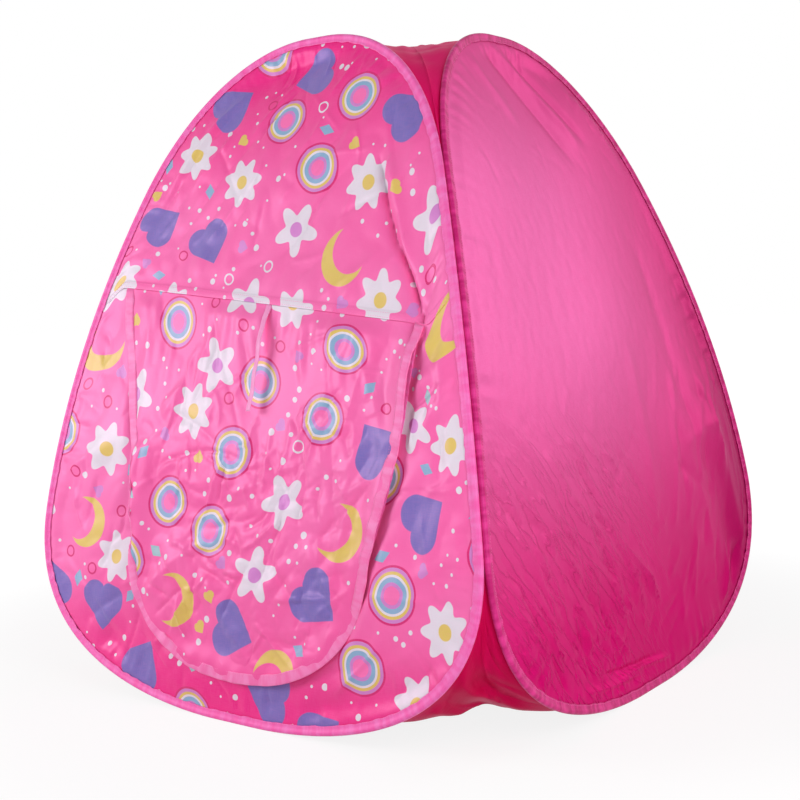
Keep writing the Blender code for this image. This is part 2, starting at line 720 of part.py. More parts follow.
def build():
    """Make every piece and hang it from the tree of walls."""
    remove_all()
    tent = new_collection("play_tent")
    cutters = new_collection("guides")
    finishes = {
        "print": finish("printed_cloth", PINK_PRINTED, CLOTH_ROUGHNESS),
        "satin": finish("satin_cloth", PINK_SATIN, SATIN_ROUGHNESS),
        "tape": finish("binding_tape", PINK_TAPE, CLOTH_ROUGHNESS),
        "ribbon": finish("tie_ribbon", PINK_RIBBON, SATIN_ROUGHNESS),
        "crimson": finish("corner_cloth", CRIMSON, CLOTH_ROUGHNESS),
        "steel": finish("spring_steel", STEEL, STEEL_ROUGHNESS, 1.0),
        "ferrule": finish("crimped_ferrule", STEEL, STEEL_ROUGHNESS, 1.0),
    }
    front = carrier("front_wall", Vector((0, 0, 0)), None, tent)
    right = carrier("right_wall_hinge", hinge_foot(0, 1, -1), front, tent)
    left = carrier("left_wall_hinge", hinge_foot(CLOSING_HINGE_INSET, -1, -1), front, tent)
    back = carrier("back_wall_hinge", hinge_foot(CLOSING_HINGE_INSET, 1, 1), right, tent)
    walls = {"front": front, "right": right, "back": back, "left": left}
    for wall, carried_by in walls.items():
        hoop_pieces(wall, carried_by, tent, cutters, finishes)
    front_cloths(front, tent, cutters, finishes)
    for wall in ("right", "back", "left"):
        edge = cloth_edge()
        cloth = plain_cloth([point.y for point in edge], edge, cutters)
        place(hang(cloth, wall), f"wall_cloth_{wall}", tent, finishes["satin"], walls[wall])
    door_pieces(front, tent, cutters, finishes)
    corners = (
        ("front", "right", front),
        ("right", "back", right),
        ("back", "left", left),
        ("left", "front", front),
    )
    for near, far, carried_by in corners:
        gusset = corner_gusset(near, far, cutters)
        place(gusset, f"corner_gusset_{near}_{far}", tent, finishes["crimson"], carried_by)
    place(roof_cloth(cutters), "roof_cloth", tent, finishes["crimson"], front)


build()
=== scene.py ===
"""Looks of a child's pop-up play tent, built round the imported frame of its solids.

The four walls are sheets cut flat and bent over a curved profile, so every cloth is worked out in
its flat pattern: u across the wall, v up along the cloth from the floor, n out of the wall. A
relief of folds, creases and gathers is added to n, and the sheet is then hung on its wall. Metres,
+Z up, the origin on the floor under the middle of the tent.
"""

import logging
import math
from collections.abc import Callable, Sequence
from dataclasses import dataclass
from enum import Enum

import bmesh
import bpy
import numpy as np
from mathutils import Matrix, Vector


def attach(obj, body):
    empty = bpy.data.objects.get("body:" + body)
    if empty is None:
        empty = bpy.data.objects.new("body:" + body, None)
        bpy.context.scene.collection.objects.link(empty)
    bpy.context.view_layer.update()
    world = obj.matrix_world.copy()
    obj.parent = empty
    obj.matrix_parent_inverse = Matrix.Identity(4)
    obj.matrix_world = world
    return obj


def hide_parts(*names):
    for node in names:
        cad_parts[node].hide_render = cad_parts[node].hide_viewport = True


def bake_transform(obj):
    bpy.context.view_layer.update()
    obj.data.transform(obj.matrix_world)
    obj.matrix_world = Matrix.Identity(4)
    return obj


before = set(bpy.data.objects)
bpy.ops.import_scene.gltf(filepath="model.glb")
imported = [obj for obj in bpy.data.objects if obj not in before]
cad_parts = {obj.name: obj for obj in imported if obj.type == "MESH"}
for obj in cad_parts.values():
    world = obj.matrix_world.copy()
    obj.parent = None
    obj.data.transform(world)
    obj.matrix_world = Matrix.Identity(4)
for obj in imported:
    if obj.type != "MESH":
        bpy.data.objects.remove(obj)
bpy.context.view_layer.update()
LOG = logging.getLogger("tent")
Array = np.ndarray
Colour = tuple[float, float, float]
Place = tuple[float, float, float]
Pair = tuple[float, float]
Socket = bpy.types.NodeSocket
FIBRE_TINT: Colour = (1.0, 0.5, 0.85)
CLOTH_THICK = 0.0006
RIBBON_THICK = 0.0005
OUTLINE_STEP = 0.004
STITCH_LENGTH = 0.0024
STITCH_PITCH = 0.0036
NUDGE = 1e-4


class Wall(Enum):
    """A wall of the tent and how many quarter turns it stands from the front one."""

    FRONT = 0
    RIGHT = 1
    BACK = 2
    LEFT = 3

    @property
    def turn(self) -> Array:
        """The wall's rotation about the tent's axis as a 2 by 2 matrix.

        Returns:
            Array: a 2 by 2 matrix.
        """
        angle = self.value * math.pi / 2
        across, along = math.cos(angle), math.sin(angle)
        return np.array([[across, -along], [along, across]])

    @property
    def tag(self) -> str:
        """The wall's part of its pieces' names."""
        return self.name.lower()

    @property
    def body(self) -> str:
        """The name of the moving body that carries the wall."""
        return f"{self.tag}_wall"


def fade(value: Array, low: float, high: float) -> Array:
    """Smooth step: 3t^2 - 2t^3, where t runs from 0 at low to 1 at high.

    Args:
        value: numbers to place between low and high.
        low: where the step starts.
        high: where the step ends; it may be below low.

    Returns:
        Array: shares from 0 to 1.
    """
    t = np.clip((np.asarray(value, float) - low) / (high - low), 0, 1)
    return t * t * (3 - 2 * t)


def bezier(ends: tuple[Array, Array, Array, Array], count: int) -> Array:
    """Points of a cubic curve from its two ends and two handles: the Bernstein sum.

    Args:
        ends: start, first handle, second handle and end.
        count: number of points, without the last one.

    Returns:
        Array: count by 2 points.
    """
    t = np.linspace(0, 1, count, endpoint=False)[:, None]
    s = 1 - t
    start, first, second, end = ends
    return s**3 * start + 3 * s * s * t * first + 3 * s * t * t * second + t**3 * end


def unit(ways: Array) -> Array:
    """Directions brought to a length of one."""
    return ways / np.linalg.norm(ways, axis=-1, keepdims=True)


def arc_along(line: Array) -> Array:
    """Length run from a polyline's start to each of its points: its segments' lengths, summed."""
    return np.concatenate([[0], np.cumsum(np.linalg.norm(np.diff(line, axis=0), axis=1))])


def left_of(ways: Array) -> Array:
    """Flat directions turned a quarter to the left."""
    return np.stack([-ways[:, 1], ways[:, 0]], 1)


def resampled(line: Array, step: float) -> Array:
    """A polyline with its points moved to even steps of its own length, by linear interpolation.

    Args:
        line: points of the polyline.
        step: the wanted distance between points.

    Returns:
        Array: the new points, its two ends kept.
    """
    lengths = arc_along(line)
    count = max(2, round(lengths[-1] / step) + 1)
    wanted = np.linspace(0, lengths[-1], count)
    return np.stack([np.interp(wanted, lengths, line[:, axis]) for axis in range(line.shape[1])], 1)


@dataclass(frozen=True)
class TentForm:
    """The walls' common form, in the same sizes as the solids."""

    height: float = 0.900
    foot_reach: float = 0.396
    head_reach: float = 0.178
    seam_foot: float = 0.252
    seam_head: float = 0.697
    foot_flat: float = 0.060
    foot_handle: float = 0.128
    foot_rise: float = 0.216
    head_flat: float = 0.030
    head_handle: float = 0.117
    head_drop: float = 0.124
    corner_inset: float = 0.00544
    sleeve_flat: float = 0.0032
    sewn_inside: float = 0.0044

    @property
    def bend(self) -> float:
        """How fast the wall's slope grows with height."""
        return 2 * (self.foot_reach - self.head_reach) / self.height**2

    def reach(self, z: Array) -> Array:
        """Distance of the wall from the tent's axis: it falls with the square of height."""
        drawn_in = self.foot_reach - self.head_reach
        return self.foot_reach - drawn_in * (np.asarray(z) / self.height) ** 2

    def length(self, z: Array) -> Array:
        """Length of cloth from the floor to a height: the arc length of a parabola."""
        slope = self.bend * np.asarray(z, float)
        return (z * np.sqrt(1 + slope**2) + np.arcsinh(slope) / self.bend) / 2

    def height_at(self, v: Array) -> Array:
        """Height reached by a length of cloth, by Newton's steps on the arc length.

        Args:
            v: lengths of cloth from the floor.

        Returns:
            Array: heights above the floor.
        """
        z = np.asarray(v, float).copy()
        for _ in range(6):
            z -= (self.length(z) - v) / np.sqrt(1 + (self.bend * z) ** 2)
        return z

    def hang(self, u: Array, v: Array, n: Array, wall: Wall) -> Array:
        """Points of the flat pattern placed on a wall of the standing tent.

        Each point goes to the parabola at its height, then n along the parabola's normal, and is
        turned about the tent's axis to its wall.

        Args:
            u: distances across the wall.
            v: lengths up the cloth.
            n: distances out of the wall.
            wall: the wall that carries the cloth.

        Returns:
            Array: points in the tent's frame, with a last axis of 3.
        """
        u, v, n = np.broadcast_arrays(u, v, n)
        z = self.height_at(v)
        steep = np.sqrt(1 + (self.bend * z) ** 2)
        flat = np.stack([u, -(self.reach(z) + n / steep)], -1) @ wall.turn.T
        return np.concatenate([flat, (z + n * self.bend * z / steep)[..., None]], -1)

    def side_point(self, z: float) -> Array:
        """Point of the wire's line on the sewn side of the hoop."""
        return np.array([float(self.reach(z)) - self.corner_inset, float(self.length(z))])

    def side_tangent(self, z: float) -> Array:
        """Direction of the sewn side in the flat pattern."""
        return unit(np.array([-self.bend * z, math.sqrt(1 + (self.bend * z) ** 2)]))

    def half_line(self, step: float) -> Array:
        """The wire's line in the flat pattern, right half, from the floor to the head.

        A cubic curve round the foot's corner, the sewn side, and a cubic curve round the head.

        Args:
            step: distance between points.

        Returns:
            Array: N by 2 points, rising.
        """
        foot = np.array([self.foot_flat / 2, self.sleeve_flat])
        head = np.array([self.head_flat / 2, float(self.length(self.height)) - self.sleeve_flat])
        low, high = self.side_point(self.seam_foot), self.side_point(self.seam_head)
        low_handle = low - self.foot_rise * self.side_tangent(self.seam_foot)
        high_handle = high + self.head_drop * self.side_tangent(self.seam_head)
        across = np.array([1.0, 0.0])
        heights = np.linspace(self.seam_foot, self.seam_head, 60)
        side = np.array([self.side_point(z) for z in heights])
        line = np.concatenate([
            np.array([[0, self.sleeve_flat]]),
            bezier((foot, foot + self.foot_handle * across, low_handle, low), 120),
            side[:-1],
            bezier((high, high_handle, head + self.head_handle * across, head), 90),
            head[None],
            np.array([[0, head[1]]]),
        ])
        return resampled(line, step)

    def hoop_line(self, step: float) -> Array:
        """The wire's whole line, closed, anticlockwise from the middle of the foot."""
        half = self.half_line(step)
        return np.concatenate([half, half[-2:0:-1] * [-1, 1]])


FORM = TentForm()


@dataclass(frozen=True)
class Line:
    """A polyline of the flat pattern that cloths are measured from."""

    points: Array
    closed: bool = True

    def nearest(self, u: Array, v: Array) -> tuple[Array, Array]:
        """Distance to the line and the arc length at its nearest point, by projection on segments.

        Args:
            u: distances across.
            v: lengths up.

        Returns:
            tuple: distances and arc lengths, each of the inputs' shape.
        """
        start = self.points
        end = np.roll(start, -1, axis=0)
        if not self.closed:
            start, end = start[:-1], end[:-1]
        run = end - start
        size = np.maximum((run**2).sum(1), 1e-18)
        arc = np.concatenate([[0], np.cumsum(np.sqrt(size))[:-1]])
        flat = np.stack([np.ravel(u), np.ravel(v)], 1)
        gaps, places = [], []
        for chunk in np.array_split(flat, max(1, len(flat) // 3000)):
            away = chunk[:, None] - start[None]
            share = np.clip((away * run).sum(2) / size, 0, 1)
            gap = np.linalg.norm(away - share[..., None] * run, axis=2)
            best = gap.argmin(1)
            rows = np.arange(len(chunk))
            gaps.append(gap[rows, best])
            places.append(arc[best] + share[rows, best] * np.sqrt(size[best]))
        return np.concatenate(gaps).reshape(np.shape(u)), np.concatenate(places).reshape(np.shape(u))


RIM = Line(FORM.hoop_line(0.006))


@dataclass(frozen=True)
class Crests:
    """A field of long soft crests: cosine waves of random phase, lying near one heading."""

    seed: int
    short: float
    long: float
    heading: float
    spread: float = 12.0
    count: int = 36

    def at(self, u: Array, v: Array) -> Array:
        """The waves' sum over the root of half their count, about -2 to 2.

        Args:
            u: distances across.
            v: lengths up.

        Returns:
            Array: heights of the field.
        """
        draw = np.random.default_rng(self.seed)
        lengths = np.exp(draw.uniform(math.log(self.short), math.log(self.long), self.count))
        turns = np.radians(self.heading + 90 + draw.normal(0, self.spread, self.count))
        phases = draw.uniform(0, 2 * math.pi, self.count)
        total = np.zeros(np.shape(u))
        for length, turn, phase in zip(lengths, turns, phases):
            total += np.cos(2 * math.pi / length * (u * math.cos(turn) + v * math.sin(turn)) + phase)
        return total / math.sqrt(self.count / 2)

    def creased(self, u: Array, v: Array, soft: float = 0.12) -> Array:
        """Sharp valleys along the field's zero lines: the root of its square and a small one."""
        return np.sqrt(self.at(u, v) ** 2 + soft**2) - 0.8


@dataclass(frozen=True)
class Fold:
    """One fold along a bowed line of the flat pattern; start and end are (u, v)."""

    start: Pair
    end: Pair
    height: float
    width: float
    sharp: float = 0.0
    bow: float = 0.0

    def at(self, u: Array, v: Array) -> Array:
        """Height of the fold: full on its line, faded out sideways and over its last stretches.

        The side profile mixes a bell, exp(-d^2), with a sharp tent, exp(-1.6|d|), by the share
        sharp, where d is the distance over the width.

        Args:
            u: distances across.
            v: lengths up.

        Returns:
            Array: heights out of the cloth.
        """
        start, end = np.array(self.start), np.array(self.end)
        run = end - start
        length = np.linalg.norm(run)
        run = run / length
        along = ((u - start[0]) * run[0] + (v - start[1]) * run[1]) / length
        off = (u - start[0]) * -run[1] + (v - start[1]) * run[0]
        off = off - self.bow * 4 * np.clip(along, 0, 1) * (1 - np.clip(along, 0, 1))
        d = np.abs(off) / self.width
        profile = (1 - self.sharp) * np.exp(-(d**2)) + self.sharp * np.exp(-1.6 * d)
        return self.height * profile * fade(along, -0.08, 0.22) * fade(along, 1.08, 0.78)


@dataclass(frozen=True)
class Creases:
    """Many short sharp creases, as cloth keeps from its bag, thrown over a patch of it."""

    seed: int
    count: int
    low: Pair
    high: Pair
    length: Pair
    width: Pair
    height: float
    heading: float = 60.0
    spread: float = 60.0

    def at(self, u: Array, v: Array) -> Array:
        """The sum of folds drawn at random: place, heading, length, width, and side.

        Args:
            u: distances across.
            v: lengths up.

        Returns:
            Array: heights out of the cloth.
        """
        draw = np.random.default_rng(self.seed)
        total = np.zeros(np.shape(u))
        for _ in range(self.count):
            middle = draw.uniform(self.low, self.high)
            turn = math.radians(self.heading + draw.normal(0, self.spread))
            half = draw.uniform(*self.length) / 2 * np.array([math.cos(turn), math.sin(turn)])
            side = 1 if draw.uniform() < 0.5 else -1
            height = self.height * side * draw.uniform(0.4, 1.0)
            width, bow = draw.uniform(*self.width), draw.normal(0, 0.004)
            total += Fold(tuple(middle - half), tuple(middle + half), height, width, 1.0, bow).at(u, v)
        return total


def surface_area(points: Array) -> float:
    """Area of a grid of points: the cross products of its cells' edges, summed."""
    edges = np.cross(np.diff(points, axis=0)[:, :-1], np.diff(points, axis=1)[:-1])
    return float(np.linalg.norm(edges, axis=2).sum())


def relief(folds: Sequence[Fold | Creases], u: Array, v: Array) -> Array:
    """The sum of several folds, or of several patches of creases."""
    return sum((fold.at(u, v) for fold in folds), np.zeros(np.shape(u)))


class Sewing:
    """Ways of turning worked-out points into the tent's meshes."""

    @staticmethod
    def mesh(name: str, points: Array, faces: list[Array], uv: Array) -> bpy.types.Object:
        """An object from points, faces and a UV place, in metres of cloth, for each point.

        Args:
            name: the piece's name.
            points: N by 3 places.
            faces: blocks of faces, each M by 3 or 4 corners.
            uv: N by 2 places in the flat pattern.

        Returns:
            Object: the linked, smooth-shaded object.
        """
        mesh = bpy.data.meshes.new(name)
        mesh.from_pydata(points.tolist(), [], [face for block in faces for face in block.tolist()])
        corners = np.concatenate([block.ravel() for block in faces])
        layer = mesh.uv_layers.new(name="cloth")
        layer.data.foreach_set("uv", uv[corners].astype(np.float32).ravel())
        mesh.shade_smooth()
        piece = bpy.data.objects.new(name, mesh)
        bpy.context.scene.collection.objects.link(piece)
        return piece

    @staticmethod
    def grid_faces(rows: int, columns: int, round_rows: bool = False, round_columns: bool = False) -> Array:
        """Corners of a grid's quads, first and last rows or columns joined where it is round.

        Args:
            rows: number of rows of points.
            columns: number of points in a row.
            round_rows: whether the last row joins the first.
            round_columns: whether each row closes on itself.

        Returns:
            Array: N by 4 corners.
        """
        row = np.arange(rows if round_rows else rows - 1)[:, None]
        column = np.arange(columns if round_columns else columns - 1)[None]
        after, beside = (row + 1) % rows, (column + 1) % columns
        corners = [row * columns + column, row * columns + beside]
        corners += [after * columns + beside, after * columns + column]
        return np.stack(corners, -1).reshape(-1, 4)

    @classmethod
    def sheet(cls, name: str, points: Array, uv: Array, thickness: float) -> bpy.types.Object:
        """A sheet from a grid of points, given its thickness about its middle.

        Args:
            name: the piece's name.
            points: rows by columns by 3 places.
            uv: rows by columns by 2 places in the flat pattern.
            thickness: the cloth's thickness.

        Returns:
            Object: the sheet.
        """
        faces = cls.grid_faces(*points.shape[:2])
        piece = cls.mesh(name, points.reshape(-1, 3), [faces], uv.reshape(-1, 2))
        cls.outwards(piece, closed=False)
        wall = piece.modifiers.new("thickness", "SOLIDIFY")
        wall.thickness = thickness
        wall.offset = 0
        return piece

    @staticmethod
    def outwards(piece: bpy.types.Object, closed: bool = True) -> None:
        """Turn the faces outwards: a closed shell's by its inside, a sheet's away from the axis.

        Args:
            piece: the object whose mesh is turned.
            closed: whether the mesh is a closed shell.
        """
        work = bmesh.new()
        work.from_mesh(piece.data)
        bmesh.ops.remove_doubles(work, verts=work.verts, dist=1e-7)
        bmesh.ops.recalc_face_normals(work, faces=work.faces)
        if not closed:
            middle, lean = Vector((0, 0, 0.4)), 0.0
            for face in work.faces:
                lean += (face.calc_center_median() - middle).dot(face.normal) * face.calc_area()
            if lean < 0:
                bmesh.ops.reverse_faces(work, faces=work.faces)
        work.to_mesh(piece.data)
        work.free()
        piece.data.shade_smooth()

    @classmethod
    def swept(cls, name: str, rings: Array, uv: Array, round_path: bool) -> bpy.types.Object:
        """A closed section carried along a path, from rings of points already in place.

        Args:
            name: the piece's name.
            rings: path steps by section points by 3 places.
            uv: path steps by section points by 2 places.
            round_path: whether the path closes on itself; otherwise both ends are capped.

        Returns:
            Object: the closed piece.
        """
        steps, around = rings.shape[:2]
        points, places = rings.reshape(-1, 3), uv.reshape(-1, 2)
        faces = [cls.grid_faces(steps, around, round_path, True)]
        if not round_path:
            points = np.concatenate([points, [rings[0].mean(0), rings[-1].mean(0)]])
            places = np.concatenate([places, [uv[0].mean(0), uv[-1].mean(0)]])
            index = np.arange(around)
            beside = (index + 1) % around
            base, middle = (steps - 1) * around, np.full(around, steps * around)
            faces.append(np.stack([index, middle, beside], 1))
            faces.append(np.stack([base + beside, middle + 1, base + index], 1))
        piece = cls.mesh(name, points, faces, places)
        cls.outwards(piece)
        return piece

    @classmethod
    def thread(
        cls, name: str, rows: list[tuple[Array, Array, Array]], length: float, radius: float,
    ) -> bpy.types.Object:
        """Rows of stitches: each a small spindle of four-sided rings lying along its seam.

        A ring's radius is radius * (1 - s^4) at a share s of half the stitch's length, and its
        middle rises by a third of a radius out of the cloth.

        Args:
            name: the piece's name.
            rows: for each row, N by 3 middles, directions of the seam, directions out of the cloth.
            length: length of a stitch.
            radius: radius of the thread.

        Returns:
            Object: the stitches.
        """
        places, along, out = (np.concatenate([row[part] for row in rows]) for part in range(3))
        along = unit(along)
        side = unit(np.cross(along, out))
        out = np.cross(side, along)
        shares = np.array([-1.0, -0.8, 0.0, 0.8, 1.0])
        sizes = radius * np.maximum(1 - shares**4, 0.12)
        turns = np.arange(4) * math.pi / 2 + math.pi / 4
        ring_side = (sizes[:, None] * np.cos(turns)).ravel()
        rise = radius * (1 - shares[:, None] ** 2) / 3
        ring_out = (sizes[:, None] * np.sin(turns) + rise).ravel()
        ring_along = np.repeat(shares * length / 2, 4)
        points = places[:, None] + side[:, None] * ring_side[None, :, None]
        points = points + out[:, None] * ring_out[None, :, None] + along[:, None] * ring_along[None, :, None]
        one = np.concatenate([cls.grid_faces(5, 4, False, True), [[3, 2, 1, 0], [16, 17, 18, 19]]])
        faces = (one[None] + (np.arange(len(places)) * 20)[:, None, None]).reshape(-1, 4)
        run = np.repeat(np.arange(len(places)) * length, 20)
        uv = np.stack([run, np.tile(ring_along, len(places))], 1)
        piece = cls.mesh(name, points.reshape(-1, 3), [faces], uv)
        cls.outwards(piece)
        return piece


def dressed(
    piece: bpy.types.Object, finish: bpy.types.Material, solid: str = "", body: str = "",
) -> bpy.types.Object:
    """Give a piece its one finish, hide the solid that it replaces, and attach it to its body.

    Args:
        piece: the piece.
        finish: its material.
        solid: the node that the piece takes the place of, if any.
        body: the body that the piece rides on, if any.

    Returns:
        Object: the same piece.
    """
    piece.data.materials.clear()
    piece.data.materials.append(finish)
    if solid:
        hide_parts(solid)
    if body:
        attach(piece, body)
    LOG.info("%s: %d faces", piece.name, len(piece.data.polygons))
    return piece


class Graph:
    """The node graph of a look or of the surroundings; a value is a socket or a plain number."""

    def __init__(self, owner: bpy.types.Material | bpy.types.World) -> None:
        """Take up the owner's own nodes.

        Args:
            owner: the material or the surroundings.
        """
        owner.use_nodes = True
        self.owner = owner
        self.nodes = owner.node_tree.nodes
        self.links = owner.node_tree.links

    @classmethod
    def of_look(cls, name: str) -> "Graph":
        """The graph of a new material, which starts with a Principled shader."""
        return cls(bpy.data.materials.new(name))

    @property
    def shader(self) -> bpy.types.Node:
        """The look's shader."""
        return self.nodes["Principled BSDF"]

    def put(self, socket: Socket, value: object) -> None:
        """Link a socket to an input, or set the input's plain value; colours get a full alpha.

        Args:
            socket: the input.
            value: a socket, a number or a colour.
        """
        if isinstance(value, bpy.types.NodeSocket):
            self.links.new(value, socket)
        elif socket.type == "RGBA":
            socket.default_value = (*value, 1.0)
        else:
            socket.default_value = value

    def fill(self, node: bpy.types.Node, values: dict) -> None:
        """Fill a node's inputs by name or number."""
        for key, value in values.items():
            self.put(node.inputs[key], value)

    def node(self, kind: str, values: dict, **settings: object) -> bpy.types.Node:
        """A node with its inputs filled.

        Args:
            kind: the node's type.
            values: input name or number to value.
            **settings: the node's own properties.

        Returns:
            Node: the node.
        """
        made = self.nodes.new(kind)
        for name, value in settings.items():
            setattr(made, name, value)
        self.fill(made, values)
        return made

    def math(self, operation: str, *values: object) -> Socket:
        """One step of arithmetic."""
        return self.node("ShaderNodeMath", dict(enumerate(values)), operation=operation).outputs[0]

    def product(self, first: object, *factors: object) -> Socket:
        """All the values multiplied.

        Args:
            first: the first value.
            *factors: the others.

        Returns:
            Socket: the product.
        """
        for factor in factors:
            first = self.math("MULTIPLY", first, factor)
        return first

    def less(self, value: object, taken: object) -> Socket:
        """A value less another."""
        return self.math("SUBTRACT", value, taken)

    def size_of(self, value: object) -> Socket:
        """A value without its sign."""
        return self.math("ABSOLUTE", value)

    def vector(self, operation: str, *values: object) -> Socket:
        """One step of vector arithmetic."""
        made = self.node("ShaderNodeVectorMath", dict(enumerate(values)), operation=operation)
        return made.outputs["Value" if operation in ("LENGTH", "DISTANCE") else "Vector"]

    def cloth_place(self) -> Socket:
        """The piece's own flat pattern, in metres."""
        return self.node("ShaderNodeUVMap", {}, uv_map="cloth").outputs[0]

    def split(self, place: object) -> tuple[Socket, Socket]:
        """The distance across and the level of a place."""
        made = self.node("ShaderNodeSeparateXYZ", {0: place})
        return made.outputs[0], made.outputs[1]

    def turned(self, place: object, angle: object) -> Socket:
        """A place turned in the flat pattern, by radians."""
        values = {"Vector": place, "Angle": angle}
        return self.node("ShaderNodeVectorRotate", values, rotation_type="Z_AXIS").outputs[0]

    def noise(self, place: object, scale: float | Pair, detail: float = 2.0, rough: float = 0.5) -> Socket:
        """Smooth noise, 0 to 1, of one scale or of unlike scales across and up.

        Args:
            place: where the noise is read.
            scale: waves in a metre.
            detail: number of finer layers.
            rough: how strong the finer layers are.

        Returns:
            Socket: the noise.
        """
        if isinstance(scale, tuple):
            place, scale = self.vector("MULTIPLY", place, (*scale, 1.0)), 1.0
        values = {"Vector": place, "Scale": scale, "Detail": detail, "Roughness": rough}
        return self.node("ShaderNodeTexNoise", values).outputs[0]

    def mix(self, share: object, first: object, second: object) -> Socket:
        """A colour between two.

        Args:
            share: how far the colour goes to the second.
            first: colour at 0.
            second: colour at 1.

        Returns:
            Socket: the colour.
        """
        made = self.node("ShaderNodeMix", {}, data_type="RGBA")
        self.put(made.inputs["Factor"], share)
        for key, value in (("A", first), ("B", second)):
            self.put(next(i for i in made.inputs if i.name == key and i.type == "RGBA"), value)
        return next(o for o in made.outputs if o.type == "RGBA")

    def step(self, value: object, low: float, high: float) -> Socket:
        """A smooth step from 0 at low to 1 at high, held at both ends."""
        values = {"Value": value, "From Min": low, "From Max": high}
        return self.node("ShaderNodeMapRange", values, interpolation_type="SMOOTHSTEP").outputs[0]

    def bump(self, height: object, distance: float, strength: float, under: object = None) -> Socket:
        """A normal roughened by a height, over another normal if one is given.

        Args:
            height: height, 0 to 1.
            distance: the real height of 1.
            strength: share of the bump that shows.
            under: a normal to start from.

        Returns:
            Socket: the normal.
        """
        values = {"Height": height, "Distance": distance, "Strength": strength}
        if under is not None:
            values["Normal"] = under
        return self.node("ShaderNodeBump", values).outputs[0]

    def gloss(self, roughness: float, specular: float, sheen: float = 0.0) -> None:
        """Set the plain values of the shader's gloss: dyed fibres tint what they reflect.

        Args:
            roughness: spread of the reflections.
            specular: their strength.
            sheen: soft shine of loose fibres.
        """
        values = {"Roughness": roughness, "Specular IOR Level": specular, "Specular Tint": FIBRE_TINT}
        values |= {"Sheen Weight": sheen, "Sheen Roughness": 0.35, "Sheen Tint": FIBRE_TINT}
        self.fill(self.shader, values)

    def finish(self, colour: object, normal: object) -> bpy.types.Material:
        """Wire colour and normal to the shader and hand the material over."""
        self.fill(self.shader, {"Base Color": colour, "Normal": normal})
        return self.owner

    def plainly_seen(self) -> Socket:
        """1 for camera, glossy and transmission rays, which see the surroundings as plain white.

        Returns:
            Socket: 0 or 1.
        """
        rays = self.node("ShaderNodeLightPath", {}).outputs
        shown = self.math("MAXIMUM", rays["Is Camera Ray"], rays["Is Glossy Ray"])
        return self.math("MAXIMUM", shown, rays["Is Transmission Ray"])


@dataclass(frozen=True)
class Weave:
    """Fine plain weave: threads across and up, as uneven fine noise drawn out along each."""

    pitch: float = 0.0011
    depth: float = 0.00006
    drawn_out: float = 12.0
    valley: float = 0.7
    crest: float = 1.3

    def height(self, graph: Graph, place: object) -> Socket:
        """The sum of two noises, one drawn out across and one up.

        Args:
            graph: the look's node graph.
            place: place in the flat pattern.

        Returns:
            Socket: height of the threads, about 0.5 to 1.5.
        """
        fine = 1 / self.pitch
        across = graph.noise(place, (fine / self.drawn_out, fine), 1.0)
        return graph.math("ADD", across, graph.noise(place, (fine, fine / self.drawn_out), 1.0))

    def speckled(self, graph: Graph, threads: object, colour: object, pale: Colour, share: float) -> Socket:
        """A colour with its raised threads a share of the way to a paler tone."""
        raised = graph.step(threads, self.valley, self.crest)
        return graph.mix(graph.product(raised, share), colour, pale)

    def raised(self, graph: Graph, threads: object, under: object) -> Socket:
        """The threads' bump over another."""
        return graph.bump(threads, self.depth, 0.5, under)


WEAVE = Weave()


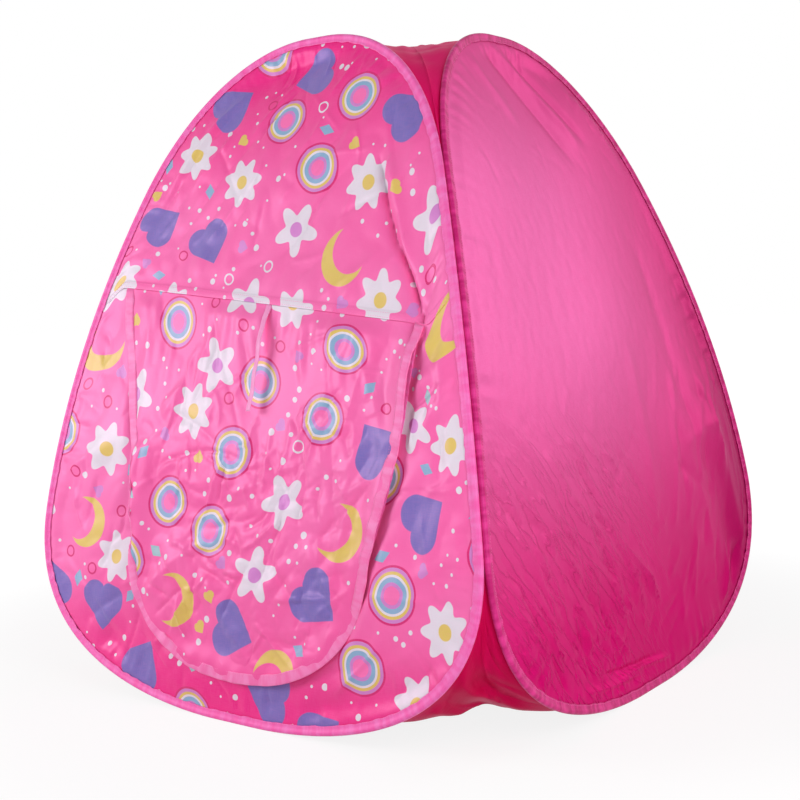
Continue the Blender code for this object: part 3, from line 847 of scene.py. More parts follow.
@dataclass(frozen=True)
class PlainCloth:
    """Dyed polyester cloth: its colour, how far it varies, its gloss and its fine wrinkles.

    A wall's cloth also has a painted highlight over its upper middle and painted shade on its far side;
    lustre is the share of coloured, metal-like gloss.
    """

    name: str
    colour: Colour
    pale: Colour
    roughness: float
    specular: float
    lustre: float
    wrinkle: float
    painted_highlight: Colour | None = None
    wrinkle_scale: Pair = (150.0, 38.0)
    streak_scale: Pair = (13.0, 62.0)
    slant: float = 0.90
    streak_depth: float = 0.0016
    far_painted_shade: float = 0.55

    def lift(self, graph: Graph, across: object, up: object) -> Socket:
        """The share of the painted highlight: full over the upper middle, falling to the foot, a little
        to the head, and towards the side away from the front.

        Args:
            graph: the look's node graph.
            across: distance across.
            up: length up.

        Returns:
            Socket: the share, 0 to 1.
        """
        risen, head = graph.step(up, 0.06, 0.52), graph.step(up, 0.95, 0.66)
        share = graph.product(risen, graph.math("MULTIPLY_ADD", head, 0.45, 0.55))
        side = graph.math("MULTIPLY_ADD", graph.step(across, 0.34, -0.10), 0.60, 0.40)
        return graph.product(share, side)

    def streaks(self, graph: Graph, place: object, across: object, up: object) -> Socket:
        """Slanting creases low on the side next to the front: narrow ridges where a noise drawn
        out along the slant crosses its middle value, kept to that corner by two steps.

        Args:
            graph: the look's node graph.
            place: place in the flat pattern.
            across: distance across.
            up: length up.

        Returns:
            Socket: height of the streaks, 0 to 1.
        """
        drawn = graph.noise(graph.turned(place, self.slant), self.streak_scale)
        ridge = graph.step(graph.size_of(graph.less(drawn, 0.5)), 0.05, 0.0)
        return graph.product(ridge, graph.step(across, 0.12, -0.16), graph.step(up, 0.44, 0.24))

    def material(self) -> bpy.types.Material:
        """Colour between two tones by slow noise, with weave and fine wrinkles as bump.

        Returns:
            Material: the finish.
        """
        graph = Graph.of_look(self.name)
        place = graph.cloth_place()
        threads = WEAVE.height(graph, place)
        colour = graph.mix(graph.step(graph.noise(place, 9.0, 3.0), 0.3, 0.75), self.colour, self.pale)
        normal = graph.bump(graph.noise(place, self.wrinkle_scale, 4.0, 0.6), self.wrinkle, 0.35)
        if self.painted_highlight:
            across, up = graph.split(place)
            # painted highlight: a paler tone over the satin's upper middle stands in for its sheen
            colour = graph.mix(self.lift(graph, across, up), colour, self.painted_highlight)
            # painted shade: the side away from the front is darkened where less light falls
            deep = tuple(self.far_painted_shade * part for part in self.colour)
            colour = graph.mix(graph.product(graph.step(across, 0.20, 0.37), 0.75), colour, deep)
            normal = graph.bump(self.streaks(graph, place, across, up), self.streak_depth, 0.8, normal)
        colour = WEAVE.speckled(graph, threads, colour, self.pale, 0.15)
        graph.gloss(self.roughness, self.specular)
        graph.fill(graph.shader, {"Metallic": self.lustre})
        return graph.finish(colour, WEAVE.raised(graph, threads, normal))


class Motif(Enum):
    """The kinds of large motif and the share of cells up to which each is drawn."""

    DAISY = 0.30
    HEART = 0.48
    TARGET = 0.66
    CRESCENT = 0.82
    LEAFED = 1.01


@dataclass(frozen=True)
class PrintedCloth:
    """Bright cloth printed with scattered daisies, hearts, targets, crescents, lozenges and dots.

    Its ground goes over into painted shade at the wall's head and foot and at the flap's foot.
    The wall's pattern lies 2 m across and 1 m up from the flap's, so levels over wall_low are a wall's.
    """

    name: str
    ground: Colour
    deep: Colour
    # painted shade: its colour, and the levels where it comes in at the wall's head and foot and the flap's
    # foot
    shaded: Colour = (0.90, 0.001, 0.225)
    wall_low: float = 0.9
    head: Pair = (1.66, 1.93)
    foot: Pair = (1.20, 1.02)
    flap_foot: Pair = (0.28, 0.56)
    white: Colour = (0.81, 0.75, 0.84)
    yellow: Colour = (0.78, 0.58, 0.13)
    lilac: Colour = (0.19, 0.16, 0.50)
    mauve: Colour = (0.66, 0.24, 0.62)
    sky: Colour = (0.25, 0.46, 0.66)
    teal: Colour = (0.30, 0.55, 0.58)
    rose: Colour = (0.72, 0.02, 0.17)
    thread_pale: Colour = (1.0, 0.30, 0.60)
    turn: float = 0.47
    cell: float = 0.103
    jitter: float = 0.36
    size: float = 0.0370
    clear: float = 1.28
    small_cell: float = 0.049
    small_jitter: float = 0.7
    small_size: float = 0.0092
    dot_cell: float = 0.0195
    dot_small: float = 0.0017
    dot_growth: float = 0.0032
    edge: float = 0.02
    small_edge: float = 0.03

    def scatter(self, graph: Graph, place: object, cell: float, jitter: float) -> tuple:
        """Nearest centre of a jittered grid of cells, its random colour and its distance.

        Args:
            graph: the look's node graph.
            place: place in the flat pattern.
            cell: the grid's pitch.
            jitter: how far centres stray from the grid, 0 to 1.

        Returns:
            tuple: centre, random colour and distance over the pitch.
        """
        values = {"Vector": place, "Scale": 1 / cell, "Randomness": jitter}
        made = graph.node("ShaderNodeTexVoronoi", values, voronoi_dimensions="2D", feature="F1")
        return made.outputs["Position"], made.outputs["Color"], made.outputs["Distance"]

    def drawn(self, graph: Graph, random: object) -> tuple[Socket, Socket]:
        """Two random shares of a cell."""
        made = graph.node("ShaderNodeSeparateColor", {0: random})
        return made.outputs[0], made.outputs[1]

    def inside(self, graph: Graph, value: object, edge: float) -> Socket:
        """1 where a signed value is below zero, with a thin soft edge."""
        return graph.step(value, edge, -edge)

    def local(self, graph: Graph, place: object, centre: object, turn: object, size: float) -> tuple:
        """Place relative to a motif's centre, turned and over its size: x, y and r.

        Args:
            graph: the look's node graph.
            place: place in the flat pattern.
            centre: the motif's centre.
            turn: share of a full turn.
            size: the motif's size.

        Returns:
            tuple: x, y and r.
        """
        away = graph.vector("SUBTRACT", place, centre)
        small = graph.node("ShaderNodeVectorMath", {0: away, "Scale": 1 / size}, operation="SCALE")
        turned = graph.turned(small.outputs["Vector"], graph.product(turn, 6.28))
        return *graph.split(turned), graph.vector("LENGTH", turned)

    def from_point(self, graph: Graph, x: object, y: object) -> Socket:
        """Distance from the origin of two measures."""
        return graph.vector("LENGTH", graph.node("ShaderNodeCombineXYZ", {0: x, 1: y}).outputs[0])

    def petals(self, graph: Graph, x: object, y: object, r: object, count: int, waist: float) -> Socket:
        """r less 1 - waist + waist * cos(count * angle): below zero inside the petals.

        Args:
            graph: the look's node graph.
            x: distance across the motif, over its size.
            y: distance up the motif, over its size.
            r: distance from the motif's centre, over its size.
            count: number of petals.
            waist: how deep the gaps between petals are.

        Returns:
            Socket: the signed value.
        """
        angle = graph.product(graph.math("ARCTAN2", y, x), float(count))
        rim = graph.math("MULTIPLY_ADD", graph.math("COSINE", angle), waist, 1 - waist)
        return graph.less(r, rim)

    def heart(self, graph: Graph, x: object, y: object) -> Socket:
        """A square on its corner with a round on each upper side: below zero inside.

        Args:
            graph: the look's node graph.
            x: distance across the motif, over its size.
            y: distance up the motif, over its size.

        Returns:
            Socket: the signed value.
        """
        beside = graph.size_of(x)
        square = graph.less(graph.math("ADD", beside, graph.size_of(y)), 0.84)
        round_side = self.from_point(graph, graph.less(beside, 0.42), graph.less(y, 0.42))
        return graph.math("MINIMUM", square, graph.less(round_side, 0.594))

    def chosen(self, graph: Graph, share: object, low: float, high: float) -> Socket:
        """1 where a cell's random share lies between two limits."""
        above = graph.math("GREATER_THAN", share, low)
        return graph.product(above, graph.math("LESS_THAN", share, high))

    def clear_of(self, graph: Graph, centre: object) -> Socket:
        """1 where a small motif's own centre lies well outside every large motif."""
        _, _, gap = self.scatter(graph, centre, self.cell, self.jitter)
        return graph.math("GREATER_THAN", gap, self.size * self.clear / self.cell)

    def shading(self, graph: Graph, place: object) -> Socket:
        """The share of painted shade: the wall's head, its foot, and the flap's foot.

        Args:
            graph: the look's node graph.
            place: place in the flat pattern.

        Returns:
            Socket: the share, 0 to 1.
        """
        across, level = graph.split(place)
        head = graph.product(graph.step(level, *self.head), 0.96)
        foot = graph.product(graph.step(level, *self.foot), 0.85)
        flap_foot = graph.product(graph.step(across, *self.flap_foot), 0.35)
        on_wall = graph.math("GREATER_THAN", level, self.wall_low)
        on_flap = graph.math("LESS_THAN", level, self.wall_low)
        share = graph.math("MULTIPLY_ADD", flap_foot, on_flap, head)
        return graph.math("MULTIPLY_ADD", foot, on_wall, share)

    def material(self) -> bpy.types.Material:
        """Ground, then dots, then small motifs, then large ones, each over the last.

        Returns:
            Material: the finish.
        """
        graph = Graph.of_look(self.name)
        place = graph.cloth_place()
        colour = graph.mix(graph.step(graph.noise(place, 5.0), 0.3, 0.7), self.ground, self.deep)
        # painted shade: the ground darkened at the wall's head and foot and at the flap's foot
        colour = graph.mix(self.shading(graph, place), colour, self.shaded)
        turned = graph.turned(place, self.turn)
        for layer in (self.dots, self.small_motifs, self.large_motifs):
            colour = layer(graph, turned, colour)
        threads = WEAVE.height(graph, place)
        colour = WEAVE.speckled(graph, threads, colour, self.thread_pale, 0.07)
        normal = graph.bump(graph.noise(place, (60.0, 60.0), 4.0, 0.6), 0.0005, 0.35)
        graph.gloss(0.39, 0.42)
        return graph.finish(colour, WEAVE.raised(graph, threads, normal))

    def dots(self, graph: Graph, place: object, colour: object) -> Socket:
        """White dots of several sizes in about two cells of three, clear of the larger motifs.

        Args:
            graph: the look's node graph.
            place: place in the flat pattern.
            colour: the colour underneath.

        Returns:
            Socket: the colour with dots.
        """
        centre, random, _ = self.scatter(graph, place, self.dot_cell, 0.85)
        share, draw = self.drawn(graph, random)
        size = graph.math("MULTIPLY_ADD", graph.product(draw, draw), self.dot_growth, self.dot_small)
        mask = self.inside(graph, graph.less(graph.vector("DISTANCE", place, centre), size), 0.0003)
        _, _, near = self.scatter(graph, centre, self.small_cell, self.small_jitter)
        free = graph.math("GREATER_THAN", near, 0.27)
        shown = graph.math("LESS_THAN", share, 0.62)
        return graph.mix(graph.product(mask, shown, free, self.clear_of(graph, centre)), colour, self.white)

    def small_motifs(self, graph: Graph, place: object, colour: object) -> Socket:
        """Small lozenges, hearts and rings in three cells of four.

        Args:
            graph: the look's node graph.
            place: place in the flat pattern.
            colour: the colour underneath.

        Returns:
            Socket: the colour with small motifs.
        """
        centre, random, _ = self.scatter(graph, place, self.small_cell, self.small_jitter)
        share, turn = self.drawn(graph, random)
        x, y, r = self.local(graph, place, centre, turn, self.small_size)
        lozenge = graph.math("ADD", graph.size_of(x), graph.product(graph.size_of(y), 0.62))
        lozenge = self.inside(graph, graph.less(lozenge, 0.85), self.small_edge)
        heart = self.inside(graph, self.heart(graph, x, y), self.small_edge)
        ring = graph.less(graph.size_of(graph.less(r, 0.8)), 0.14)
        ring = self.inside(graph, ring, self.small_edge)
        free = self.clear_of(graph, centre)
        low = 0.0
        for high, mask, tint in (
            (0.18, lozenge, self.sky), (0.30, lozenge, self.teal), (0.42, heart, self.yellow),
            (0.54, heart, self.mauve), (0.66, ring, self.rose), (0.76, ring, self.white),
        ):
            shown = graph.product(self.chosen(graph, share, low, high), free)
            colour = graph.mix(graph.product(mask, shown), colour, tint)
            low = high
        return colour

    def bands(self, graph: Graph, r: object) -> Socket:
        """The target's rings of colour, by the distance from its centre.

        Args:
            graph: the look's node graph.
            r: distance from the motif's centre, over its size.

        Returns:
            Socket: the colour of the ring.
        """
        ramp = graph.nodes.new("ShaderNodeValToRGB")
        ramp.color_ramp.interpolation = "CONSTANT"
        bands = (
            (0.0, self.ground), (0.30, self.mauve), (0.42, self.sky), (0.58, self.white),
            (0.66, self.yellow), (0.76, self.mauve), (0.88, self.rose),
        )
        while len(ramp.color_ramp.elements) < len(bands):
            ramp.color_ramp.elements.new(0.5)
        for element, (position, tint) in zip(ramp.color_ramp.elements, bands):
            element.position = position
            element.color = (*tint, 1.0)
        graph.put(ramp.inputs[0], r)
        return ramp.outputs[0]

    def large_motifs(self, graph: Graph, place: object, colour: object) -> Socket:
        """One large motif in each cell of the widest grid, its kind by the cell's random share.

        Args:
            graph: the look's node graph.
            place: place in the flat pattern.
            colour: the colour underneath.

        Returns:
            Socket: the colour with large motifs.
        """
        centre, random, _ = self.scatter(graph, place, self.cell, self.jitter)
        share, turn = self.drawn(graph, random)
        x, y, r = self.local(graph, place, centre, turn, self.size)
        daisy, flower = self.petals(graph, x, y, r, 7, 0.17), self.petals(graph, x, y, r, 5, 0.24)
        shapes = (daisy, flower, graph.less(r, 0.27), self.heart(graph, x, y), graph.less(r, 0.96))
        daisy, flower, eye, heart, disc = (self.inside(graph, shape, self.edge) for shape in shapes)
        bite = graph.step(self.from_point(graph, graph.less(x, 0.42), y), 0.80, 0.84)
        layers = {
            Motif.DAISY: ((daisy, self.white), (eye, self.yellow)),
            Motif.HEART: ((heart, self.lilac),),
            Motif.TARGET: ((disc, self.bands(graph, r)),),
            Motif.CRESCENT: ((graph.product(disc, bite), self.yellow),),
            Motif.LEAFED: ((flower, self.white), (eye, self.mauve)),
        }
        low = 0.0
        for kind, coats in layers.items():
            shown = self.chosen(graph, share, low, kind.value)
            for mask, tint in coats:
                colour = graph.mix(graph.product(mask, shown), colour, tint)
            low = kind.value
        return colour


@dataclass(frozen=True)
class BindingTape:
    """Folded polyester tape: fine ribs across it and small tucks where it goes round a curve."""

    name: str
    colour: Colour
    pale: Colour
    rib: float = 0.0016

    def material(self) -> bpy.types.Material:
        """Colour between two tones by noise along the tape, ribs and tucks as bump.

        Returns:
            Material: the finish.
        """
        graph = Graph.of_look(self.name)
        place = graph.cloth_place()
        tucks = graph.noise(place, (95.0, 26.0), 3.0, 0.55)
        ribs = graph.noise(place, (1 / self.rib, 40.0), 1.0)
        normal = graph.bump(ribs, 0.0001, 0.4, graph.bump(tucks, 0.0009, 0.55))
        graph.gloss(0.46, 0.35)
        return graph.finish(graph.mix(graph.step(tucks, 0.32, 0.70), self.colour, self.pale), normal)


@dataclass(frozen=True)
class Thread:
    """Spun sewing thread: its twist as a fine bump."""

    name: str
    colour: Colour

    def material(self) -> bpy.types.Material:
        """One tone, mottled along the thread.

        Returns:
            Material: the finish.
        """
        graph = Graph.of_look(self.name)
        twist = graph.noise(graph.cloth_place(), (900.0, 900.0))
        pale = tuple(min(1.0, part * 1.25 + 0.04) for part in self.colour)
        colour = graph.mix(graph.step(twist, 0.3, 0.7), self.colour, pale)
        graph.gloss(0.5, 0.45, 0.1)
        return graph.finish(colour, graph.bump(twist, 0.0002, 0.5))


@dataclass(frozen=True)
class SpringSteel:
    """Drawn spring wire or a crimped ferrule, a little darker in patches."""

    name: str
    colour: Colour
    roughness: float

    def material(self) -> bpy.types.Material:
        """Metal whose tone and fine scratches follow noise in the object's own space.

        Returns:
            Material: the finish.
        """
        graph = Graph.of_look(self.name)
        place = graph.node("ShaderNodeTexCoord", {}).outputs["Object"]
        dark = tuple(part * 0.55 for part in self.colour)
        colour = graph.mix(graph.step(graph.noise(place, 60.0, 3.0), 0.35, 0.7), self.colour, dark)
        graph.fill(graph.shader, {"Metallic": 1.0, "Roughness": self.roughness})
        return graph.finish(colour, graph.bump(graph.noise(place, (900.0, 900.0)), 0.00005, 0.4))


@dataclass(frozen=True)
class Finishes:
    """Every finish of the tent, made once."""

    printed: bpy.types.Material
    satin: bpy.types.Material
    tape: bpy.types.Material
    flap_tape: bpy.types.Material
    side_tape: bpy.types.Material
    ribbon: bpy.types.Material
    crimson: bpy.types.Material
    roof: bpy.types.Material
    thread: bpy.types.Material
    steel: bpy.types.Material
    ferrule: bpy.types.Material

    @classmethod
    def mixed(cls) -> "Finishes":
        """Mix all the finishes.

        Returns:
            Finishes: the whole set.
        """
        looks = {
            "printed": PrintedCloth("printed_cloth_look", (0.99, 0.182, 0.48), (0.98, 0.134, 0.42)),
            "satin": PlainCloth(
                "satin_cloth_look", (0.62, 0.001, 0.140), (0.67, 0.002, 0.160), 0.41, 0.06,
                # painted highlight: the paler colour painted over the satin wall's upper middle
                lustre=0.27, wrinkle=0.0005, painted_highlight=(0.75, 0.140, 0.38),
            ),
            "tape": BindingTape("front_tape_look", (0.96, 0.12, 0.44), (0.97, 0.21, 0.57)),
            "flap_tape": BindingTape("flap_tape_look", (0.96, 0.18, 0.46), (0.98, 0.28, 0.58)),
            # side hoops' tape: its own deeper magenta, darkened further as painted shade
            "side_tape": BindingTape("side_tape_look", (0.52, 0.006, 0.14), (0.80, 0.040, 0.28)),
            "ribbon": BindingTape("ribbon_look", (0.95, 0.32, 0.62), (0.96, 0.40, 0.68)),
            "crimson": PlainCloth(
                "crimson_cloth_look", (0.52, 0.001, 0.056), (0.62, 0.003, 0.088), 0.44, 0.04,
                lustre=0.2, wrinkle=0.001,
            ),
            "roof": PlainCloth(
                "roof_cloth_look", (0.74, 0.004, 0.120), (0.86, 0.010, 0.170), 0.44, 0.06,
                lustre=0.2, wrinkle=0.001,
            ),
            "thread": Thread("thread_look", (0.90, 0.20, 0.46)),
            "steel": SpringSteel("spring_steel_look", (0.45, 0.45, 0.47), 0.30),
            "ferrule": SpringSteel("ferrule_look", (0.60, 0.60, 0.60), 0.36),
        }
        return cls(**{name: look.material() for name, look in looks.items()})


def across_levels(line: Array, low: float, high: float, step: float) -> tuple[Array, Array]:
    """Rows for a grid whose sides follow a rising half line between two levels.

    The rows stand at even steps along the half line, so they crowd where it runs nearly level.

    Args:
        line: right half of the outline, rising.
        low: lowest level.
        high: highest level.
        step: distance between rows along the line.

    Returns:
        tuple: levels of the rows and the half widths there.
    """
    fine = resampled(line, step)
    inside = fine[(fine[:, 1] > low + step / 9) & (fine[:, 1] < high - step / 9)]
    levels = np.concatenate([[low], np.maximum.accumulate(inside[:, 1]), [high]])
    return levels, np.interp(levels, fine[:, 1], fine[:, 0])


def inset_line(line: Array, distance: float) -> Array:
    """A rising right half line moved inwards, to its left, along its own normals.

    Args:
        line: right half of an outline, rising.
        distance: how far it moves.

    Returns:
        Array: the moved points, none past the middle.
    """
    moved = line + distance * left_of(unit(np.gradient(line, axis=0)))
    moved[:, 0] = np.maximum(moved[:, 0], 0)
    return moved


@dataclass(frozen=True)
class FrontDrift:
    """How the front wall's middle lies off the plain pattern: the door stands a little to the
    right, and its seam sinks towards the right."""

    rise: float = 0.540

    def at(self, u: Array, v: Array) -> tuple[Array, Array]:
        """The pattern's places moved by smooth bells that fade out towards the hoop.

        Args:
            u: distances across.
            v: lengths up.

        Returns:
            tuple: the moved u and v.
        """
        z = FORM.height_at(v)
        half = FORM.reach(z)
        room = fade(np.abs(u) / half, 1.0, 0.62)
        right = 0.008 + 0.017 * np.exp(-(((z - 0.36) / 0.15) ** 2))
        sink = (-0.003 - 0.033 * (u / 0.3)) * np.exp(-(((z - self.rise) / 0.11) ** 2))
        sink = sink * fade(np.abs(u) / half, 0.97, 0.84)
        return u + right * room * fade(z, 0.02, 0.10) * fade(z, 0.80, 0.62), v + sink


DRIFT = FrontDrift()


def on_front(u: Array, v: Array, n: Array) -> Array:
    """Places on the front wall, its pattern drifted with the door."""
    return FORM.hang(*DRIFT.at(u, v), n, Wall.FRONT)


def by_length(field: Crests, arc: Array) -> Array:
    """A field of crests as a wave of the length along a line."""
    return field.at(arc, arc * 0)


@dataclass(frozen=True)
class HoopSleeve:
    """The folded tape round one hoop, its puckers, and the two rows of stitches that close it."""

    wall: Wall
    pucker: float = 0.00035
    leg: float = 0.0088
    stitch_in: float = 0.0074
    stitch_out: float = 0.00148
    least_swell: float = -0.0002
    stitch: float = 0.0023
    pitch: float = 0.0035
    thread_radius: float = 0.00024
    seed: int = 3

    def section(self) -> tuple[Array, Array]:
        """Upper half of the section, from the fold's outermost point to the leg's end.

        Returns:
            tuple: outer and inner points, x inwards from the wire and y out of the wall.
        """
        outer = (
            (-0.0039, 0), (-0.0036, 0.0014), (-0.0028, 0.0027), (-0.0015, 0.0036), (0, 0.0039),
            (0.0015, 0.0036), (0.0029, 0.0029), (0.0042, 0.0022), (0.0060, 0.0017),
            (0.0080, 0.0015), (self.leg, 0.0013),
        )
        inner = (
            (-0.0033, 0), (-0.0031, 0.0012), (-0.0024, 0.0022), (-0.0013, 0.0030), (0, 0.0033),
            (0.0013, 0.0030), (0.0025, 0.0023), (0.0039, 0.0015), (0.0058, 0.0010),
            (0.0079, 0.0008), (self.leg, 0.0007),
        )
        return np.array(outer), np.array(inner)

    def build(self, finishes: Finishes) -> list[bpy.types.Object]:
        """Carry the section round the hoop's line, swelling and drawing it in along the way.

        Each ring's legs are moved inwards and out of the wall by crests along the arc, which stand
        for the tucks of a tape taken round a curve.

        Args:
            finishes: the tent's finishes.

        Returns:
            list: the sleeve and its stitches.
        """
        line = FORM.hoop_line(0.0055)
        ahead = unit(np.roll(line, -1, 0) - np.roll(line, 1, 0))
        inwards = left_of(ahead)
        arc = arc_along(line)
        outer, inner = self.section()
        flip = np.array([1, -1])
        ring = np.concatenate([outer[::-1], outer[1:] * flip, inner[::-1] * flip, inner[1:]])
        curl = np.linalg.norm(np.roll(ahead, -2, 0) - np.roll(ahead, 2, 0), axis=1)
        gathered = 0.35 + 0.65 * fade(curl, 0.0, 0.18)
        seed = self.seed + self.wall.value
        waves = by_length(Crests(seed, 0.009, 0.030, 90, 0, 30), arc) * gathered
        drawn = by_length(Crests(seed + 9, 0.015, 0.060, 90, 0, 20), arc)
        share = np.clip((ring[:, 0] + 0.004) / (self.leg + 0.004), 0, 1) ** 1.5
        x = ring[None, :, 0] + self.pucker * 1.2 * share * drawn[:, None]
        swell = self.pucker * share * (0.6 + waves[:, None])
        y = ring[None, :, 1] + np.sign(ring[:, 1]) * np.maximum(swell, self.least_swell)
        u = line[:, None, 0] + inwards[:, None, 0] * x
        v = line[:, None, 1] + inwards[:, None, 1] * x
        uv = np.stack(np.broadcast_arrays(arc[:, None], arc_along(ring)[None]), -1)
        tag, body = self.wall.tag, self.wall.body
        sleeve = Sewing.swept(f"tape_sleeve_{tag}", FORM.hang(u, v, y, self.wall), uv, True)
        tape = finishes.tape if self.wall is Wall.FRONT else finishes.side_tape
        dressed(sleeve, tape, f"hoop_sleeve_{tag}", body)
        tracks = np.stack([*line.T, *inwards.T, *ahead.T, waves, drawn], 1)
        stitches = self.stitches(arc, tracks, arc[-1] + np.linalg.norm(line[0] - line[-1]))
        dressed(stitches, finishes.thread, body=body)
        return [sleeve, stitches]

    def stitches(self, arc: Array, tracks: Array, whole: float) -> bpy.types.Object:
        """Two rows of stitches, one on each leg, a stitch every pitch along the arc.

        Args:
            arc: lengths along the hoop at which the tracks are known.
            tracks: place, inward way, forward way, waves and draw of the tape, at those lengths.
            whole: length of the whole hoop.

        Returns:
            Object: both rows.
        """
        middles = np.arange(self.pitch / 2, whole - self.pitch / 2, self.pitch)
        values = [np.interp(middles, arc, track) for track in tracks.T]
        u, v, in_u, in_v, way_u, way_v, waves, drawn = values
        x = self.stitch_in + self.pucker * 0.9 * drawn
        u, v = u + in_u * x, v + in_v * x
        swell = np.maximum(self.pucker * 0.8 * (0.6 + waves), self.least_swell)
        rows = []
        for side in (1, -1):
            n = side * (self.stitch_out + swell)
            place = FORM.hang(u, v, n, self.wall)
            along = FORM.hang(u + way_u * NUDGE, v + way_v * NUDGE, n, self.wall) - place
            rows.append((place, along, FORM.hang(u, v, n + side * NUDGE, self.wall) - place))
        return Sewing.thread(f"sleeve_stitches_{self.wall.tag}", rows, self.stitch, self.thread_radius)


def rim_gathers(u: Array, v: Array, seed: int, depth: float, reach: float) -> Array:
    """Short folds that start at the binding and fade inwards, and the calm strip inside the tape.

    Crests of the arc length along the hoop, times a rise over the first stretch inside the tape
    and an exponential fall further in.

    Args:
        u: distances across.
        v: lengths up.
        seed: number that sets the folds.
        depth: height of the folds.
        reach: how far in they fall to a third.

    Returns:
        Array: heights out of the cloth.
    """
    gap, arc = RIM.nearest(u, v)
    crests = by_length(Crests(seed, 0.012, 0.05, 90, 0, 40), arc)
    uneven = 0.35 + fade(by_length(Crests(seed + 1, 0.15, 0.5, 90, 0, 8), arc), -0.6, 1.4)
    fall = np.exp(-np.maximum(gap - 0.012, 0) / reach)
    return depth * crests * uneven * fall * fade(gap, 0.0098, 0.020)


def calm(u: Array, v: Array, wide: float = 0.035) -> Array:
    """A share that is 0 inside the tape and 1 further in, so that no relief breaks out of it."""
    gap, _ = RIM.nearest(u, v)
    return fade(gap, 0.0105, wide)


@dataclass(frozen=True)
class SatinWall:
    """A plain satin wall: gathers at the binding, long soft folds, fine standing wrinkles and
    slanting streaks low on the side next to the front."""

    wall: Wall
    mirrored: bool = False
    step: float = 0.0048
    columns: int = 176
    crowding: float = 0.82
    edge_inset: float = 0.0050

    def folds(self) -> tuple[Fold, ...]:
        """The wall's larger folds in its flat pattern, right wall's way round.

        Returns:
            tuple: the folds.
        """
        return (
            Fold((-0.060, 0.925), (0.075, 0.735), -0.0042, 0.011, 0.35, 0.006),
            Fold((-0.030, 0.928), (0.105, 0.760), 0.0036, 0.010, 0.2, 0.006),
            Fold((0.010, 0.915), (0.125, 0.770), -0.0036, 0.009, 0.4, 0.004),
            Fold((-0.105, 0.900), (-0.040, 0.790), 0.0022, 0.010, 0.3),
            Fold((0.205, 0.330), (0.305, 0.075), -0.0055, 0.030, 0.1, 0.02),
            Fold((0.250, 0.350), (0.335, 0.110), 0.0050, 0.020, 0.3, 0.01),
            Fold((0.130, 0.300), (0.255, 0.230), -0.0030, 0.012, 0.6, -0.01),
            Fold((0.170, 0.310), (0.300, 0.340), 0.0026, 0.012, 0.5),
            Fold((0.240, 0.060), (0.300, 0.150), 0.0045, 0.010, 0.5, 0.004),
            Fold((0.275, 0.050), (0.325, 0.150), -0.0040, 0.010, 0.5, 0.004),
            Fold((-0.190, 0.042), (-0.030, 0.029), 0.0060, 0.0050, 0.6, -0.003),
            Fold((-0.080, 0.036), (0.060, 0.030), 0.0050, 0.0050, 0.6, 0.002),
            Fold((-0.130, 0.052), (0.020, 0.040), -0.0040, 0.0050, 0.5, -0.004),
            Fold((-0.300, 0.400), (-0.120, 0.190), 0.0024, 0.016, 0.3, 0.01),
            Fold((-0.340, 0.330), (-0.180, 0.130), -0.0024, 0.018, 0.3, 0.01),
            Fold((0.060, 0.470), (0.040, 0.180), 0.0022, 0.016, 0.4, 0.01),
            Fold((0.175, 0.620), (0.190, 0.330), -0.0022, 0.016, 0.2, 0.01),
        )

    def rise(self, u: Array, v: Array) -> Array:
        """All the wall's relief: slow swell, standing wrinkles, streaks, folds and gathers.

        Each field of crests is weighted by smooth steps of place, and the sum is held down inside
        the tape.

        Args:
            u: distances across.
            v: lengths up.

        Returns:
            Array: heights out of the wall.
        """
        side = -u if self.mirrored else u
        seed = 20 * (self.wall.value + 1)
        slow = 0.0028 * Crests(seed, 0.24, 0.6, 50, 60, 14).at(side, v)
        band = fade(v, 0.10, 0.28) * fade(v, 0.80, 0.60)
        standing = 0.00010 * Crests(seed + 1, 0.014, 0.045, 86, 24, 70).at(side, v) * band
        height = slow + standing + relief(self.creases(seed + 2), side, v) + relief(self.folds(), side, v)
        return height * calm(u, v) + rim_gathers(u, v, seed + 7, 0.0010, 0.022)

    def creases(self, seed: int) -> list[Creases]:
        """Fine creases over the middle, crossed ones below, streaks low next to the front, tall
        ones low on the far side, and a few at the head.

        Args:
            seed: number that sets the draws.

        Returns:
            list: the patches of creases.
        """
        patches = (
            (240, (-0.32, 0.16), (0.34, 0.66), (0.015, 0.05), (0.0025, 0.005), 0.00042, 82, 30),
            (110, (-0.34, 0.05), (0.30, 0.42), (0.02, 0.07), (0.003, 0.008), 0.0013, 70, 50),
            (70, (-0.34, 0.07), (0.02, 0.34), (0.03, 0.11), (0.003, 0.006), 0.0052, -52, 9),
            (34, (0.10, 0.08), (0.34, 0.42), (0.05, 0.16), (0.006, 0.013), 0.0024, 84, 12),
            (60, (-0.20, 0.70), (0.20, 0.95), (0.02, 0.07), (0.003, 0.007), 0.0007, -62, 30),
        )
        return [Creases(seed + place, *patch) for place, patch in enumerate(patches)]

    def build(self, finishes: Finishes) -> list[bpy.types.Object]:
        """Lay the wall out flat between the hoop's sides, raise it and hang it.

        Args:
            finishes: the tent's finishes.

        Returns:
            list: the dressed pieces.
        """
        line = inset_line(FORM.half_line(OUTLINE_STEP), self.edge_inset)
        levels, half = across_levels(line, line[0, 1], line[-1, 1], self.step)
        reach = math.pi / 2 * self.crowding
        share = np.sin(np.linspace(-1, 1, self.columns) * reach) / math.sin(reach)
        u = half[:, None] * share[None]
        v = np.broadcast_to(levels[:, None], u.shape)
        points = FORM.hang(u, v, self.rise(u, v), self.wall)
        tag = self.wall.tag
        cloth = Sewing.sheet(f"satin_wall_{tag}", points, np.stack([u, v], -1), CLOTH_THICK)
        dressed(cloth, finishes.satin, f"wall_cloth_{tag}", self.wall.body)
        return [cloth]


